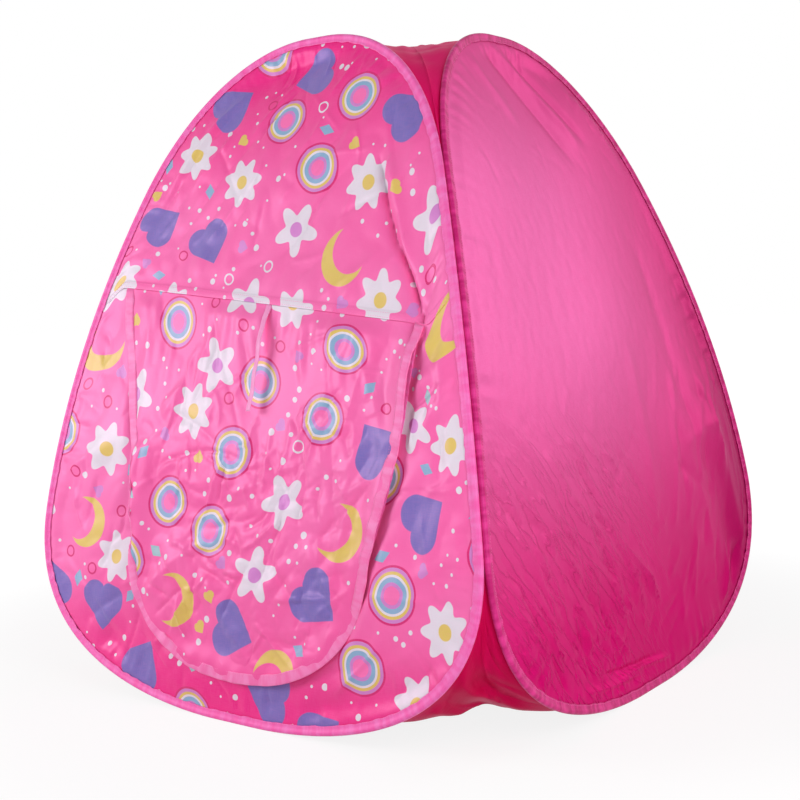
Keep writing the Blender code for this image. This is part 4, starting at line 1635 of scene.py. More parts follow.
@dataclass(frozen=True)
class DoorForm:
    """The door's outline: straight tapering sides and a round foot, shared by the doorway, the
    flap and their bindings."""

    seam: float = 0.540
    head_half: float = 0.266
    shoulder_half: float = 0.205
    shoulder: float = 0.215
    tip: float = 0.056
    roundness: float = 0.87
    lap: float = 0.016

    @property
    def seam_level(self) -> float:
        """Level of the seam in the flat pattern."""
        return float(FORM.length(self.seam))

    def half_line(self, inset: float) -> Array:
        """Right half of the outline from the tip up to the seam, moved inwards.

        The foot is (half width * cos(a)^roundness, drop * sin(a)), the side a straight taper.

        Args:
            inset: how far the outline moves inwards.

        Returns:
            Array: N by 2 points, rising.
        """
        head, shoulder, tip = (float(FORM.length(z)) for z in (self.seam, self.shoulder, self.tip))
        angle = np.linspace(math.pi / 2, 0, 90)
        foot = np.stack([
            self.shoulder_half * np.maximum(np.cos(angle), 0) ** self.roundness,
            shoulder - (shoulder - tip) * np.sin(angle),
        ], 1)
        share = np.linspace(0, 1, 60)[1:, None]
        side = foot[-1] + share * (np.array([self.head_half, head]) - foot[-1])
        line = resampled(np.concatenate([foot, side]), 0.004)
        return inset_line(line, inset) if inset else line

    def loop(self, inset: float, top: float) -> Array:
        """The whole outline from the seam's left end down round the foot to its right end.

        Args:
            inset: how far the outline moves inwards.
            top: level where it ends.

        Returns:
            Array: N by 2 points.
        """
        half = self.half_line(inset)
        half = half[half[:, 1] < top]
        return np.concatenate([(half * [-1, 1])[::-1][:-1], half])


DOOR = DoorForm()


@dataclass(frozen=True)
class FrontWall:
    """The printed front wall: the cloth above the door's seam, the cloth round the doorway, the
    doorway's binding and the seam's two rows of stitches."""

    step: float = 0.0036
    edge_inset: float = 0.0050
    binding_width: float = 0.0100
    hem: float = 0.010
    hem_proud: float = 0.0007
    overlap: float = 0.0015
    flap_lift: float = 0.0016
    rows_round: int = 420
    columns_out: int = 64
    print_shift: Pair = (2.0, 1.0)

    def folds(self) -> tuple[Fold, ...]:
        """The larger folds of the front wall.

        Returns:
            tuple: the folds.
        """
        return (
            Fold((0.158, 0.735), (0.203, 0.625), -0.0100, 0.0060, 0.9, -0.004),
            Fold((0.198, 0.640), (0.268, 0.530), -0.0150, 0.0062, 0.95, 0.004),
            Fold((0.178, 0.735), (0.232, 0.600), 0.0060, 0.0100, 0.4, -0.004),
            Fold((0.150, 0.820), (0.185, 0.660), 0.0022, 0.012, 0.4, 0.006),
            Fold((0.235, 0.760), (0.262, 0.590), -0.0022, 0.010, 0.4),
            Fold((-0.225, 0.700), (-0.105, 0.860), 0.0036, 0.007, 0.5, 0.008),
            Fold((-0.235, 0.660), (-0.120, 0.830), -0.0036, 0.006, 0.5, 0.008),
            Fold((-0.215, 0.640), (-0.100, 0.800), 0.0030, 0.007, 0.5, 0.010),
            Fold((-0.250, 0.600), (-0.160, 0.730), -0.0026, 0.008, 0.5, 0.004),
            Fold((-0.190, 0.620), (-0.060, 0.790), -0.0026, 0.008, 0.5, 0.010),
            Fold((-0.120, 0.870), (0.060, 0.900), -0.0030, 0.024, 0.0, 0.01),
            Fold((-0.100, 0.800), (0.110, 0.840), 0.0030, 0.030, 0.0, 0.01),
            Fold((-0.285, 0.300), (-0.300, 0.235), -0.0030, 0.004, 0.8),
            Fold((0.060, 0.078), (0.240, 0.120), -0.0024, 0.012, 0.3, -0.01),
            Fold((0.120, 0.060), (0.300, 0.150), 0.0022, 0.012, 0.3, -0.01),
            Fold((-0.330, 0.170), (-0.200, 0.060), 0.0024, 0.010, 0.4, 0.006),
            Fold((-0.345, 0.200), (-0.240, 0.080), -0.0022, 0.008, 0.4, 0.006),
            Fold((0.235, 0.200), (0.345, 0.250), 0.0018, 0.010, 0.3),
            Fold((0.290, 0.480), (0.305, 0.330), -0.0022, 0.010, 0.3),
        )

    def rise(self, u: Array, v: Array) -> Array:
        """All the front wall's relief: slow swell, soft crests, folds and gathers.

        Args:
            u: distances across.
            v: lengths up.

        Returns:
            Array: heights out of the wall.
        """
        slow = 0.0036 * Crests(5, 0.20, 0.55, 30, 60, 14).at(u, v)
        soft = 0.0008 * Crests(6, 0.040, 0.110, 62, 22, 50).at(u, v)
        soft *= 0.4 + fade(Crests(7, 0.15, 0.4, 40, 60, 10).at(u, v), -0.4, 1.4)
        crumple = 0.0006 * Crests(8, 0.040, 0.120, 70, 40, 40).creased(u, v, 0.08)
        creases = (
            Creases(16, 90, (-0.36, 0.02), (0.36, 0.50), (0.03, 0.12), (0.003, 0.007), 0.0030),
            Creases(17, 60, (-0.28, 0.56), (0.28, 0.92), (0.03, 0.13), (0.003, 0.007), 0.0026, 60, 26),
        )
        crumple += relief(creases, u, v)
        height = slow + soft + crumple + relief(self.folds(), u, v)
        return height * calm(u, v) + rim_gathers(u, v, 9, 0.0008, 0.020)

    def build(self, finishes: Finishes) -> list[bpy.types.Object]:
        """Make the four pieces and dress them."""
        makers = (self.upper, self.lower, self.binding, self.stitches)
        return [make(finishes) for make in makers]

    def seam_hold(self, v: Array) -> Array:
        """A share that is 0 at the seam and 1 away from it: the sewn cloths keep together."""
        return fade(np.abs(v - DOOR.seam_level), 0.002, 0.030)

    def upper(self, finishes: Finishes) -> bpy.types.Object:
        """The cloth above the seam; its turned hem laps over the seam and stands a little proud.

        Args:
            finishes: the tent's finishes.

        Returns:
            Object: the dressed piece.
        """
        line = inset_line(FORM.half_line(OUTLINE_STEP), self.edge_inset)
        low = DOOR.seam_level - self.overlap
        levels, _ = across_levels(line, low, line[-1, 1], self.step)
        hem = low + np.array([0.0008, 0.0020, 0.0045, 0.0075, 0.0098, 0.0112, 0.0125])
        levels = np.sort(np.concatenate([levels, hem]))
        half = np.interp(levels, line[:, 1], line[:, 0])
        u = half[:, None] * np.linspace(-1, 1, 190)[None]
        v = np.broadcast_to(levels[:, None], u.shape)
        proud = self.hem_proud * fade(v - low, self.hem + 0.0012, self.hem) * calm(u, v, 0.016)
        height = self.sewn_down(u, v) + proud + self.over_flap(u, v)
        points = on_front(u, v, height)
        cloth = self.printed_sheet("upper", points, u, v, finishes)
        return cloth

    def printed_sheet(
        self, part: str, points: Array, u: Array, v: Array, finishes: Finishes,
    ) -> bpy.types.Object:
        """One of the wall's two cloths, its print apart from the flap's.

        Args:
            part: the cloth's part of its name.
            points: rows by columns by 3 places.
            u: distances across.
            v: lengths up.
            finishes: the tent's finishes.

        Returns:
            Object: the dressed piece.
        """
        uv = np.stack([u, v], -1) + self.print_shift
        cloth = Sewing.sheet(f"printed_wall_{part}", points, uv, CLOTH_THICK)
        return dressed(cloth, finishes.printed, f"front_cloth_{part}", Wall.FRONT.body)

    def seam_line_rise(self, u: Array) -> Array:
        """Height of the sewn seam line, the same for both cloths: the relief on that level."""
        return self.rise(u, np.full(np.shape(u), DOOR.seam_level)) * 0.8

    def sewn_down(self, u: Array, v: Array) -> Array:
        """The wall's relief, gone over into the sewn line's height near the seam."""
        sewn = self.seam_line_rise(u)
        return sewn + (self.rise(u, v) - sewn) * self.seam_hold(v)

    def over_flap(self, u: Array, v: Array) -> Array:
        """How far the hem is raised by the flap's head, which is sewn in under it."""
        up = v - DOOR.seam_level + self.overlap
        return self.flap_lift * fade(np.abs(u), 0.285, 0.262) * fade(up, 0.016, 0.002)

    def lower(self, finishes: Finishes) -> bpy.types.Object:
        """The cloth round the doorway: a grid from the doorway's edge out to the hoop.

        Rows run out from matching shares of the two outlines' lengths, so that the columns follow
        the doorway at one side and the hoop at the other.

        Args:
            finishes: the tent's finishes.

        Returns:
            Object: the dressed piece.
        """
        top = DOOR.seam_level - 0.0002
        inner = DOOR.loop(DOOR.lap - 0.001, top + 0.004)
        half = inset_line(FORM.half_line(OUTLINE_STEP), self.edge_inset)
        half = half[half[:, 1] < top + 0.004]
        outer = np.concatenate([(half * [-1, 1])[::-1][:-1], half])
        inner, outer = self.even(inner, self.rows_round), self.even(outer, self.rows_round)
        share = np.linspace(0, 1, self.columns_out)[None, :, None]
        grid = inner[:, None] * (1 - share) + outer[:, None] * share
        u, v = grid[..., 0], np.minimum(grid[..., 1], top)
        gap, _ = Line(DOOR.loop(DOOR.lap, top), closed=False).nearest(u, v)
        edge = fade(gap, 0.008, 0.030)
        height = self.sewn_down(u, v) * edge + self.edge_rise(u, v) * (1 - edge)
        points = on_front(u, v, height)
        cloth = self.printed_sheet("lower", points, u, v, finishes)
        return cloth

    def edge_rise(self, u: Array, v: Array) -> Array:
        """A slow wave for the doorway's free edge, the same for cloth and binding."""
        return 0.0009 * Crests(12, 0.08, 0.25, 20, 60, 12).at(u, v) * self.seam_hold(v) - 0.0004

    @staticmethod
    def even(line: Array, count: int) -> Array:
        """A line as a set number of points at even steps."""
        length = np.linalg.norm(np.diff(line, axis=0), axis=1).sum()
        return resampled(line, length / (count - 1) * 1.0000001)[:count]

    def binding(self, finishes: Finishes) -> bpy.types.Object:
        """The folded tape round the doorway's cut edge.

        Args:
            finishes: the tent's finishes.

        Returns:
            Object: the dressed piece.
        """
        loop = DOOR.loop(DOOR.lap, DOOR.seam_level - 0.0008)
        piece = bound_edge("doorway_tape", loop, self.binding_width, self.edge_rise, 0.0011, outwards=True)
        return dressed(piece, finishes.tape, "doorway_binding", Wall.FRONT.body)

    def stitches(self, finishes: Finishes) -> bpy.types.Object:
        """Two rows of stitches along the seam's hem.

        Args:
            finishes: the tent's finishes.

        Returns:
            Object: the dressed piece.
        """
        low = DOOR.seam_level - self.overlap
        edge = float(np.interp(low, *FORM.half_line(OUTLINE_STEP)[:, ::-1].T)) - 0.011
        u = np.arange(-edge, edge, STITCH_PITCH)
        rows = []
        for up in (0.0022, 0.0082):
            v = np.full(u.shape, low + up)
            n = self.sewn_down(u, v) + self.hem_proud * calm(u, v, 0.016) + self.over_flap(u, v) + 0.00042
            place = on_front(u, v, n)
            rows.append((place, np.gradient(place, axis=0), on_front(u, v, n + NUDGE) - place))
        piece = Sewing.thread("seam_stitches", rows, STITCH_LENGTH, 0.00026)
        return dressed(piece, finishes.thread, body=Wall.FRONT.body)


def bound_edge(
    name: str, loop: Array, width: float, rise: Callable, half_thick: float,
    outwards: bool = False, roll: Callable | None = None,
) -> bpy.types.Object:
    """A folded tape carried along the free edge of a front cloth.

    The section is a flat U: half thick at its free ends, a little fuller at its rounded fold. It is
    set on the edge's place in the wall, x inwards over the cloth and y out of it, and rolled about
    the edge by the angle that roll gives along the arc.

    Args:
        name: the piece's name.
        loop: the edge in the flat pattern, from the seam's left end round to its right end.
        width: width of the tape over the cloth.
        rise: height of the edge out of the wall at (u, v).
        half_thick: half the folded tape's thickness.
        outwards: whether the cloth lies outside the loop, as at a doorway.
        roll: angle of the tape, in radians, at an arc length.

    Returns:
        Object: the tape.
    """
    loop = resampled(loop, 0.0045)
    arc = arc_along(loop)
    inwards = left_of(unit(np.gradient(loop, axis=0))) * (-1 if outwards else 1)
    legs = np.array([[1, 0.5], [0.98, 0.85], [0.8, 1.0], [0.45, 1.0], [0.15, 1.1]]) * [width, 1]
    outline = np.concatenate([legs, [[0.0002, 0.95], [-0.0006, 0.45]]]) * [1, half_thick]
    ring = np.concatenate([outline, (outline * [1, -1])[::-1]])
    tucks = by_length(Crests(len(name), 0.010, 0.04, 90, 0, 30), arc)[:, None]
    turn = (roll(arc) if roll else np.zeros(len(arc)))[:, None]
    over, out = ring[None, :, 0], ring[None, :, 1]
    x = over * np.cos(turn) - out * np.sin(turn) + 0.00025 * tucks * (over > width / 2)
    y = (over * np.sin(turn) + out * np.cos(turn)) * (1 + 0.10 * tucks)
    u = loop[:, None, 0] + inwards[:, None, 0] * x
    v = loop[:, None, 1] + inwards[:, None, 1] * x
    base = rise(loop[:, 0], loop[:, 1])[:, None]
    uv = np.stack(np.broadcast_arrays(arc[:, None], arc_along(ring)[None]), -1)
    return Sewing.swept(name, on_front(u, v, base + y), uv, False)


def bend_at_seam(piece: bpy.types.Object) -> None:
    """Bake a piece of the flap's placement into its mesh."""
    Wall.FRONT.body
    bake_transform(piece)


@dataclass(frozen=True)
class DoorFlap:
    """The crumpled door flap: printed cloth sewn in at the seam, its binding, which twists on the
    way down, its stitches, and the tie ribbon that hangs over it."""

    standoff: float = 0.0034
    belly: float = 0.0062
    clearance: float = 0.0030
    print_from: float = 0.6
    print_turn: Pair = (0.996, 0.08)
    step: float = 0.0030
    columns: int = 210
    binding_width: float = 0.0140
    tie_offset: float = 0.010
    tie_width: float = 0.009
    tie_length: float = 0.145

    def edge(self) -> Array:
        """The flap's free edge in the flat pattern, from the seam's left end to its right end."""
        return DOOR.loop(0, DOOR.seam_level - 0.0030)

    def roll(self, arc: Array) -> Array:
        """Angle of the binding along its arc from the seam's left end: flat, turned on edge down
        the left side, flipped wide at the lower left, and twisted again near the right end.

        Args:
            arc: lengths along the edge.

        Returns:
            Array: angles in radians.
        """
        whole = 1.45
        left = 0.70 * fade(arc, 0.190, 0.215) * fade(arc, 0.370, 0.335)
        lower = -0.30 * fade(arc, 0.370, 0.395) * fade(arc, 0.500, 0.470)
        right = 0.80 * fade(arc, whole - 0.200, whole - 0.150) * fade(arc, whole - 0.045, whole - 0.080)
        return left + lower + right

    def folds(self) -> tuple[Fold, ...]:
        """The flap's folds and creases in the flat pattern.

        Returns:
            tuple: the folds.
        """
        return (
            Fold((0.215, 0.540), (0.222, 0.400), -0.0060, 0.010, 0.5, 0.006),
            Fold((0.238, 0.545), (0.248, 0.360), 0.0070, 0.009, 0.4, 0.004),
            Fold((0.175, 0.470), (0.215, 0.330), 0.0034, 0.012, 0.4, 0.004),
            Fold((0.135, 0.560), (0.122, 0.430), 0.0026, 0.007, 0.7, -0.004),
            Fold((0.170, 0.555), (0.118, 0.470), -0.0024, 0.005, 0.8),
            Fold((0.028, 0.530), (0.020, 0.385), -0.0046, 0.008, 0.5, -0.004),
            Fold((0.070, 0.545), (0.075, 0.440), 0.0026, 0.010, 0.4),
            Fold((-0.150, 0.210), (-0.072, 0.095), -0.0052, 0.0075, 0.9, 0.010),
            Fold((-0.072, 0.160), (-0.010, 0.072), -0.0060, 0.0070, 0.9, -0.006),
            Fold((-0.060, 0.190), (0.030, 0.080), 0.0040, 0.013, 0.3, -0.006),
            Fold((-0.155, 0.270), (0.010, 0.285), -0.0044, 0.0075, 0.8, -0.006),
            Fold((-0.150, 0.300), (-0.010, 0.312), 0.0026, 0.012, 0.3),
            Fold((-0.172, 0.145), (-0.092, 0.215), 0.0048, 0.012, 0.3, 0.006),
            Fold((0.060, 0.400), (0.098, 0.300), -0.0034, 0.006, 0.8, 0.006),
            Fold((0.110, 0.395), (0.070, 0.295), 0.0030, 0.007, 0.7, 0.006),
            Fold((0.010, 0.360), (0.065, 0.300), -0.0034, 0.006, 0.8),
            Fold((0.060, 0.330), (-0.030, 0.290), 0.0030, 0.008, 0.6),
            Fold((0.130, 0.380), (0.150, 0.260), -0.0030, 0.007, 0.7, -0.004),
            Fold((0.160, 0.350), (0.150, 0.190), 0.0030, 0.009, 0.5, 0.006),
            Fold((0.020, 0.240), (0.110, 0.150), -0.0036, 0.0065, 0.8, 0.004),
            Fold((0.110, 0.240), (0.175, 0.150), 0.0036, 0.010, 0.5),
            Fold((0.060, 0.270), (0.040, 0.180), -0.0028, 0.0055, 0.8, 0.004),
            Fold((-0.160, 0.395), (-0.060, 0.355), -0.0028, 0.0065, 0.8, 0.006),
            Fold((-0.130, 0.440), (-0.172, 0.385), 0.0026, 0.008, 0.5),
            Fold((-0.185, 0.330), (-0.140, 0.230), -0.0044, 0.008, 0.7, 0.006),
            Fold((0.180, 0.250), (0.200, 0.200), -0.0030, 0.008, 0.6),
            Fold((-0.100, 0.480), (-0.080, 0.380), 0.0016, 0.010, 0.4),
        )

    def edge_rise(self, u: Array, v: Array) -> Array:
        """Height of the free edge: near the wall at the seam, standing off further down, most at
        the upper right, where it gapes, and at the lower left, where it turns over.

        Args:
            u: distances across.
            v: lengths up.

        Returns:
            Array: heights out of the wall.
        """
        down = fade(DOOR.seam_level - v, 0.0, 0.05)
        wave = 0.0018 * Crests(41, 0.07, 0.22, 15, 60, 14).at(u, v)
        wave += 0.0007 * Crests(42, 0.025, 0.06, 15, 60, 14).at(u, v)
        gape = 0.0110 * np.exp(-(((v - 0.470) / 0.075) ** 2)) * fade(u, 0.12, 0.22)
        hip = 0.0050 * np.exp(-(((v - 0.300) / 0.09) ** 2)) * fade(u, 0.10, 0.20)
        fallen = 0.0060 * np.exp(-(((v - 0.160) / 0.06) ** 2)) * fade(u, -0.10, -0.17)
        foot = 0.0042 * fade(v, 0.17, 0.07)
        return 0.0016 + down * (self.standoff - 0.0004 + wave + gape + hip + fallen + foot)

    def rise(self, u: Array, v: Array) -> Array:
        """All the flap's relief: a slow belly, crumples sharper towards the foot, and the folds.

        Near the free edge it goes over into the edge's own height plus the slope that the rolled
        tape gives the cloth: tan(roll) times the distance in, up to the tape's inner edge.

        Args:
            u: distances across.
            v: lengths up.

        Returns:
            Array: heights out of the wall.
        """
        gap, arc = Line(self.edge(), closed=False).nearest(u, v)
        low = fade(v, 0.52, 0.20)
        slow = 0.0030 * Crests(30, 0.14, 0.34, 60, 60, 14).at(u, v)
        crumple = (0.0004 + 0.0010 * low) * Crests(31, 0.045, 0.120, 60, 60, 60).creased(u, v, 0.08)
        creases = (
            Creases(34, 70, (-0.18, 0.07), (0.18, 0.34), (0.03, 0.12), (0.003, 0.007), 0.0046),
            Creases(35, 60, (-0.02, 0.26), (0.20, 0.44), (0.02, 0.07), (0.003, 0.005), 0.0032),
            Creases(36, 50, (-0.22, 0.30), (0.22, 0.54), (0.03, 0.11), (0.003, 0.007), 0.0025, 80, 35),
        )
        crumple += relief(creases, u, v)
        fine = (0.0001 + 0.0002 * low) * Crests(32, 0.013, 0.034, 50, 70, 70).creased(u, v, 0.2)
        upright = 0.0006 * Crests(33, 0.018, 0.045, 86, 10, 50).at(u, v) * fade(v, 0.38, 0.52)
        inner = self.belly + slow + crumple + fine + upright + relief(self.folds(), u, v)
        inner = np.maximum(inner, self.clearance)
        roll = self.roll(arc)
        width = self.binding_width * np.cos(roll)
        share = gap / width
        slope = np.tan(roll) * width * np.minimum(share, 1) * fade(share, 6.0, 1.0)
        inside = fade(gap, 0.010, 0.045)
        height = self.edge_rise(u, v) * (1 - inside) + inner * inside + np.maximum(slope, -0.002)
        sewn = FrontWall().seam_line_rise(u) + 0.0012
        return sewn + (height - sewn) * fade(DOOR.seam_level - v, 0.0, 0.028)

    def build(self, finishes: Finishes) -> list[bpy.types.Object]:
        """Make the cloth, its binding with stitches, and the ribbon."""
        makers = (self.cloth, self.binding, self.stitches, self.ribbon)
        return [make(finishes) for make in makers]

    def cloth(self, finishes: Finishes) -> bpy.types.Object:
        """The flap's cloth as a grid between its two sides, raised and hung.

        Args:
            finishes: the tent's finishes.

        Returns:
            Object: the dressed piece.
        """
        line = DOOR.half_line(0.0010)
        top = DOOR.seam_level - 0.0012
        levels, half = across_levels(line, line[0, 1], top, self.step)
        u = half[:, None] * np.linspace(-1, 1, self.columns)[None]
        v = np.broadcast_to(levels[:, None], u.shape)
        points = on_front(u, v, self.rise(u, v))
        most, little = self.print_turn
        print_place = np.stack([self.print_from - v * most + u * little, u * most + v * little], -1)
        cloth = Sewing.sheet("printed_flap", points, print_place, CLOTH_THICK)
        dressed(cloth, finishes.printed, "door_flap_cloth")
        bend_at_seam(cloth)
        return cloth

    def binding(self, finishes: Finishes) -> bpy.types.Object:
        """The folded tape round the flap's free edge.

        Args:
            finishes: the tent's finishes.

        Returns:
            Object: the dressed piece.
        """
        width, half_thick = self.binding_width, 0.0013
        piece = bound_edge("flap_tape", self.edge(), width, self.edge_rise, half_thick, roll=self.roll)
        dressed(piece, finishes.flap_tape, "door_flap_binding")
        bend_at_seam(piece)
        return piece

    def stitches(self, finishes: Finishes) -> bpy.types.Object:
        """The row of stitches just inside the binding's inner edge.

        Args:
            finishes: the tent's finishes.

        Returns:
            Object: the dressed piece.
        """
        loop = resampled(self.edge(), STITCH_PITCH)
        inwards = left_of(unit(np.gradient(loop, axis=0)))
        turn = self.roll(arc_along(loop))
        over, out = self.binding_width - 0.0014, 0.0015
        x = over * np.cos(turn) - out * np.sin(turn)
        n = self.edge_rise(loop[:, 0], loop[:, 1]) + over * np.sin(turn) + out * np.cos(turn)
        u, v = loop[:, 0] + inwards[:, 0] * x, loop[:, 1] + inwards[:, 1] * x
        place = on_front(u, v, n)
        row = (place, np.gradient(place, axis=0), on_front(u, v, n + NUDGE) - place)
        piece = Sewing.thread("flap_stitches", [row], STITCH_LENGTH, 0.00024)
        dressed(piece, finishes.thread)
        bend_at_seam(piece)
        return piece

    def ribbon(self, finishes: Finishes) -> bpy.types.Object:
        """The outer tie: a ribbon that hangs from the seam over the flap, leaning to the left and
        turning a little about its own length.

        Args:
            finishes: the tent's finishes.

        Returns:
            Object: the dressed piece.
        """
        down = np.linspace(0, 1, 60)[:, None]
        side = np.linspace(-0.5, 0.5, 9)[None]
        twist = 0.3 * np.sin(down * 2.4)
        centre = self.tie_offset - 0.004 * down - 0.010 * down**2
        u = centre + self.tie_width * side * np.cos(twist)
        v = DOOR.seam_level - 0.0015 - self.tie_length * down + 0 * side
        stand = 0.0058 + 0.0075 * np.sin(np.clip(down * 1.5, 0, 1) * math.pi / 2)
        stand = stand + 0.0008 * np.sin(down * 21)
        under = self.rise(np.broadcast_to(centre, u.shape), v)
        free = fade(down, 0, 0.2)
        n = (under + under.mean()) / 2 * free + stand * fade(down, -0.25, 0.3) + 0.0022 * (1 - free)
        n = n + self.tie_width * side * np.sin(twist) + 0.0004 * np.cos(side * 6)
        points = on_front(u, v, n)
        uv = np.stack(np.broadcast_arrays(self.tie_length * down, self.tie_width * (side + 0.5)), -1)
        piece = Sewing.sheet("tie_outer", points, uv, RIBBON_THICK)
        return dressed(piece, finishes.ribbon, "tie_ribbon_outer", "outer_tie")


@dataclass(frozen=True)
class InnerTie:
    """The tie ribbon inside the tent, which hangs straight down from the seam's inner face."""

    offset: float = 0.010
    width: float = 0.009
    length: float = 0.145
    inner: float = 0.0012

    def build(self, finishes: Finishes) -> list[bpy.types.Object]:
        """A narrow sheet that falls plumb from the seam, with a slight wave.

        Args:
            finishes: the tent's finishes.

        Returns:
            list: the dressed pieces.
        """
        z = DOOR.seam - 0.0010
        down = np.linspace(0, 1, 50)[:, None]
        side = np.linspace(-0.5, 0.5, 7)[None]
        x = self.offset + 0.008 + self.width * side + 0.0015 * np.sin(down * 5)
        y = -FORM.reach(z) + self.inner + 0.004 * np.sin(down * math.pi / 2) + 0.0012 * np.sin(down * 13)
        points = np.stack(np.broadcast_arrays(x, y, z - self.length * down), -1)
        uv = np.stack(np.broadcast_arrays(self.length * down, self.width * (side + 0.5)), -1)
        piece = Sewing.sheet("tie_inner", points, uv, RIBBON_THICK)
        return [dressed(piece, finishes.ribbon, "tie_ribbon_inner", "inner_tie")]


@dataclass(frozen=True)
class Corner:
    """The corner between two walls, where cloth goes from one hoop's inner face to the other's."""

    near: Wall
    far: Wall

    @property
    def tag(self) -> str:
        """The corner's part of its pieces' names."""
        return f"{self.near.tag}_{self.far.tag}"

    def hoops(self, level: Array) -> tuple[Array, Array]:
        """Places on the near and the far sleeve's inner face at some levels.

        Args:
            level: lengths up the cloth.

        Returns:
            tuple: places on the near and on the far sleeve.
        """
        line = FORM.half_line(OUTLINE_STEP)
        across = np.interp(level, line[:, 1], line[:, 0])
        inside = np.full(level.shape, -FORM.sewn_inside)
        near = FORM.hang(across, level, inside, self.near)
        return near, FORM.hang(-across, level, inside, self.far)

    @staticmethod
    def inwards(place: Array) -> Array:
        """Level directions from places to the tent's axis."""
        return unit(-place * [1, 1, 0])

    def bend(self, piece: bpy.types.Object, near: Place, far: Place) -> None:
        """Bake a piece's placement into its mesh; the corner's two bodies are put in order but not used.

        Args:
            piece: the piece.
            near: place where it is wholly the near wall's; not used.
            far: place where it is wholly the far wall's; not used.
        """
        ends, bodies = [near, far], [self.near.body, self.far.body]
        if self.near is Wall.LEFT:
            ends, bodies = ends[::-1], bodies[::-1]
        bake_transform(piece)


@dataclass(frozen=True)
class CornerGusset:
    """Crimson cloth that closes the gap below a corner's seam, in slanting folds, with a free
    wavy hem."""

    corner: Corner
    hem_height: float = 0.036
    columns: int = 84
    rows: int = 110
    belly: float = 0.010
    arch: float = 0.006
    look_size: Pair = (0.24, 0.23)

    def folds(self) -> tuple[Fold, ...]:
        """Folds in shares of the gusset, across from its near edge and down from its head.

        Returns:
            tuple: the folds.
        """
        return (
            Fold((0.02, 0.46), (0.98, 0.92), 0.0100, 0.060, 0.3, 0.03),
            Fold((0.05, 0.62), (0.98, 1.02), -0.0080, 0.050, 0.4, 0.03),
            Fold((0.00, 0.74), (0.80, 1.05), 0.0090, 0.055, 0.4, 0.02),
            Fold((0.15, 0.90), (0.62, 1.06), -0.0070, 0.040, 0.5),
            Fold((0.55, 0.05), (0.86, 0.55), -0.0060, 0.100, 0.4),
            Fold((0.30, 0.30), (0.92, 0.62), -0.0052, 0.045, 0.6, 0.02),
            Fold((0.08, 0.30), (0.70, 0.52), 0.0050, 0.050, 0.4, -0.02),
            Fold((0.60, 0.70), (1.00, 0.80), 0.0050, 0.030, 0.5),
            Fold((0.66, 0.86), (0.74, 1.05), 0.0070, 0.040, 0.5),
        )

    def parts(self) -> list[tuple[str, float, float]]:
        """Names of the gusset's parts with the shares across that each covers.

        Returns:
            list: suffix of the name, first share and last share.
        """
        if self.corner.near is Wall.BACK:
            return [("_back", 0.0, 0.5), ("_left", 0.5, 1.0)]
        return [("", 0.0, 1.0)]

    def points(self, share: Array, down: Array) -> Array:
        """Places at shares across and down: straight between the two hoops, then folded inwards.

        Args:
            share: share of the way from the near hoop to the far one.
            down: share of the way from the seam's foot to the hem.

        Returns:
            Array: places in the tent's frame.
        """
        top, hem = float(FORM.length(FORM.seam_foot)), float(FORM.length(self.hem_height))
        start, end = self.corner.hoops(top + (hem - top) * down)
        place = start + (end - start) * share[..., None]
        wide = np.linalg.norm(end - start, axis=-1)
        bow = np.sin(math.pi * share)
        held = bow**0.7 * np.minimum(1, wide / 0.11)
        seed = 60 + self.corner.near.value
        creases = Creases(seed, 26, (0.0, 0.2), (1.0, 1.0), (0.2, 0.6), (0.02, 0.06), 0.0050, 33, 12)
        height = relief(self.folds(), share, down) + creases.at(share, down) + self.belly * bow
        place = place + self.corner.inwards(place) * (height * held)[..., None]
        wave = 0.0040 * np.sin(math.pi * 3.2 * share + 2.2) + 0.0016 * np.sin(math.pi * 7.3 * share + 1.1)
        place[..., 2] += (wave + self.arch) * bow * down**3
        return place

    def build(self, finishes: Finishes) -> list[bpy.types.Object]:
        """Make the gusset, in two halves at the corner that no joint closes.

        Args:
            finishes: the tent's finishes.

        Returns:
            list: the dressed pieces.
        """
        made = []
        for suffix, low, high in self.parts():
            count = self.columns if not suffix else self.columns // 2
            across, rows = np.linspace(low, high, count), np.linspace(0.004, 1, self.rows)
            share, down = np.meshgrid(across, rows)
            points = self.points(share, down)
            uv = np.stack([share, -down], -1) * self.look_size
            name = f"crimson_gusset_{self.corner.tag}{suffix}"
            cloth = Sewing.sheet(name, points, uv, CLOTH_THICK)
            dressed(cloth, finishes.crimson, f"corner_gusset_{self.corner.tag}")
            self.carry(cloth, suffix)
            sleeve = [f"tape_sleeve_{self.corner.near.tag}"]
            made.append(cloth)
        return made

    @staticmethod
    def flat_size(points: Array) -> tuple[float, float, float]:
        """Width, height and area of the cut cloth: its widest row, its longest column, its cells.

        Args:
            points: rows by columns by 3 places.

        Returns:
            tuple: width, height and area.
        """
        across = float(np.linalg.norm(np.diff(points, axis=1), axis=2).sum(1).max())
        down = float(np.linalg.norm(np.diff(points, axis=0), axis=2).sum(0).max())
        return across, down, min(max(surface_area(points), 0.301 * across * down), across * down)

    def carry(self, cloth: bpy.types.Object, suffix: str) -> None:
        """Ride on one wall at the open corner; elsewhere bake the cloth's placement into its mesh.

        Args:
            cloth: the cloth.
            suffix: its part's suffix, if it has one.
        """
        if suffix:
            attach(cloth, f"{suffix[1:]}_wall")
            return
        ends = {
            Wall.FRONT: ((0.36, -0.396), (0.396, -0.36)),
            Wall.RIGHT: ((0.396, 0.33), (0.33, 0.396)),
            Wall.LEFT: ((-0.396, -0.33), (-0.33, -0.396)),
        }
        near, far = ends[self.corner.near]
        self.corner.bend(cloth, (*near, 0.14), (*far, 0.14))


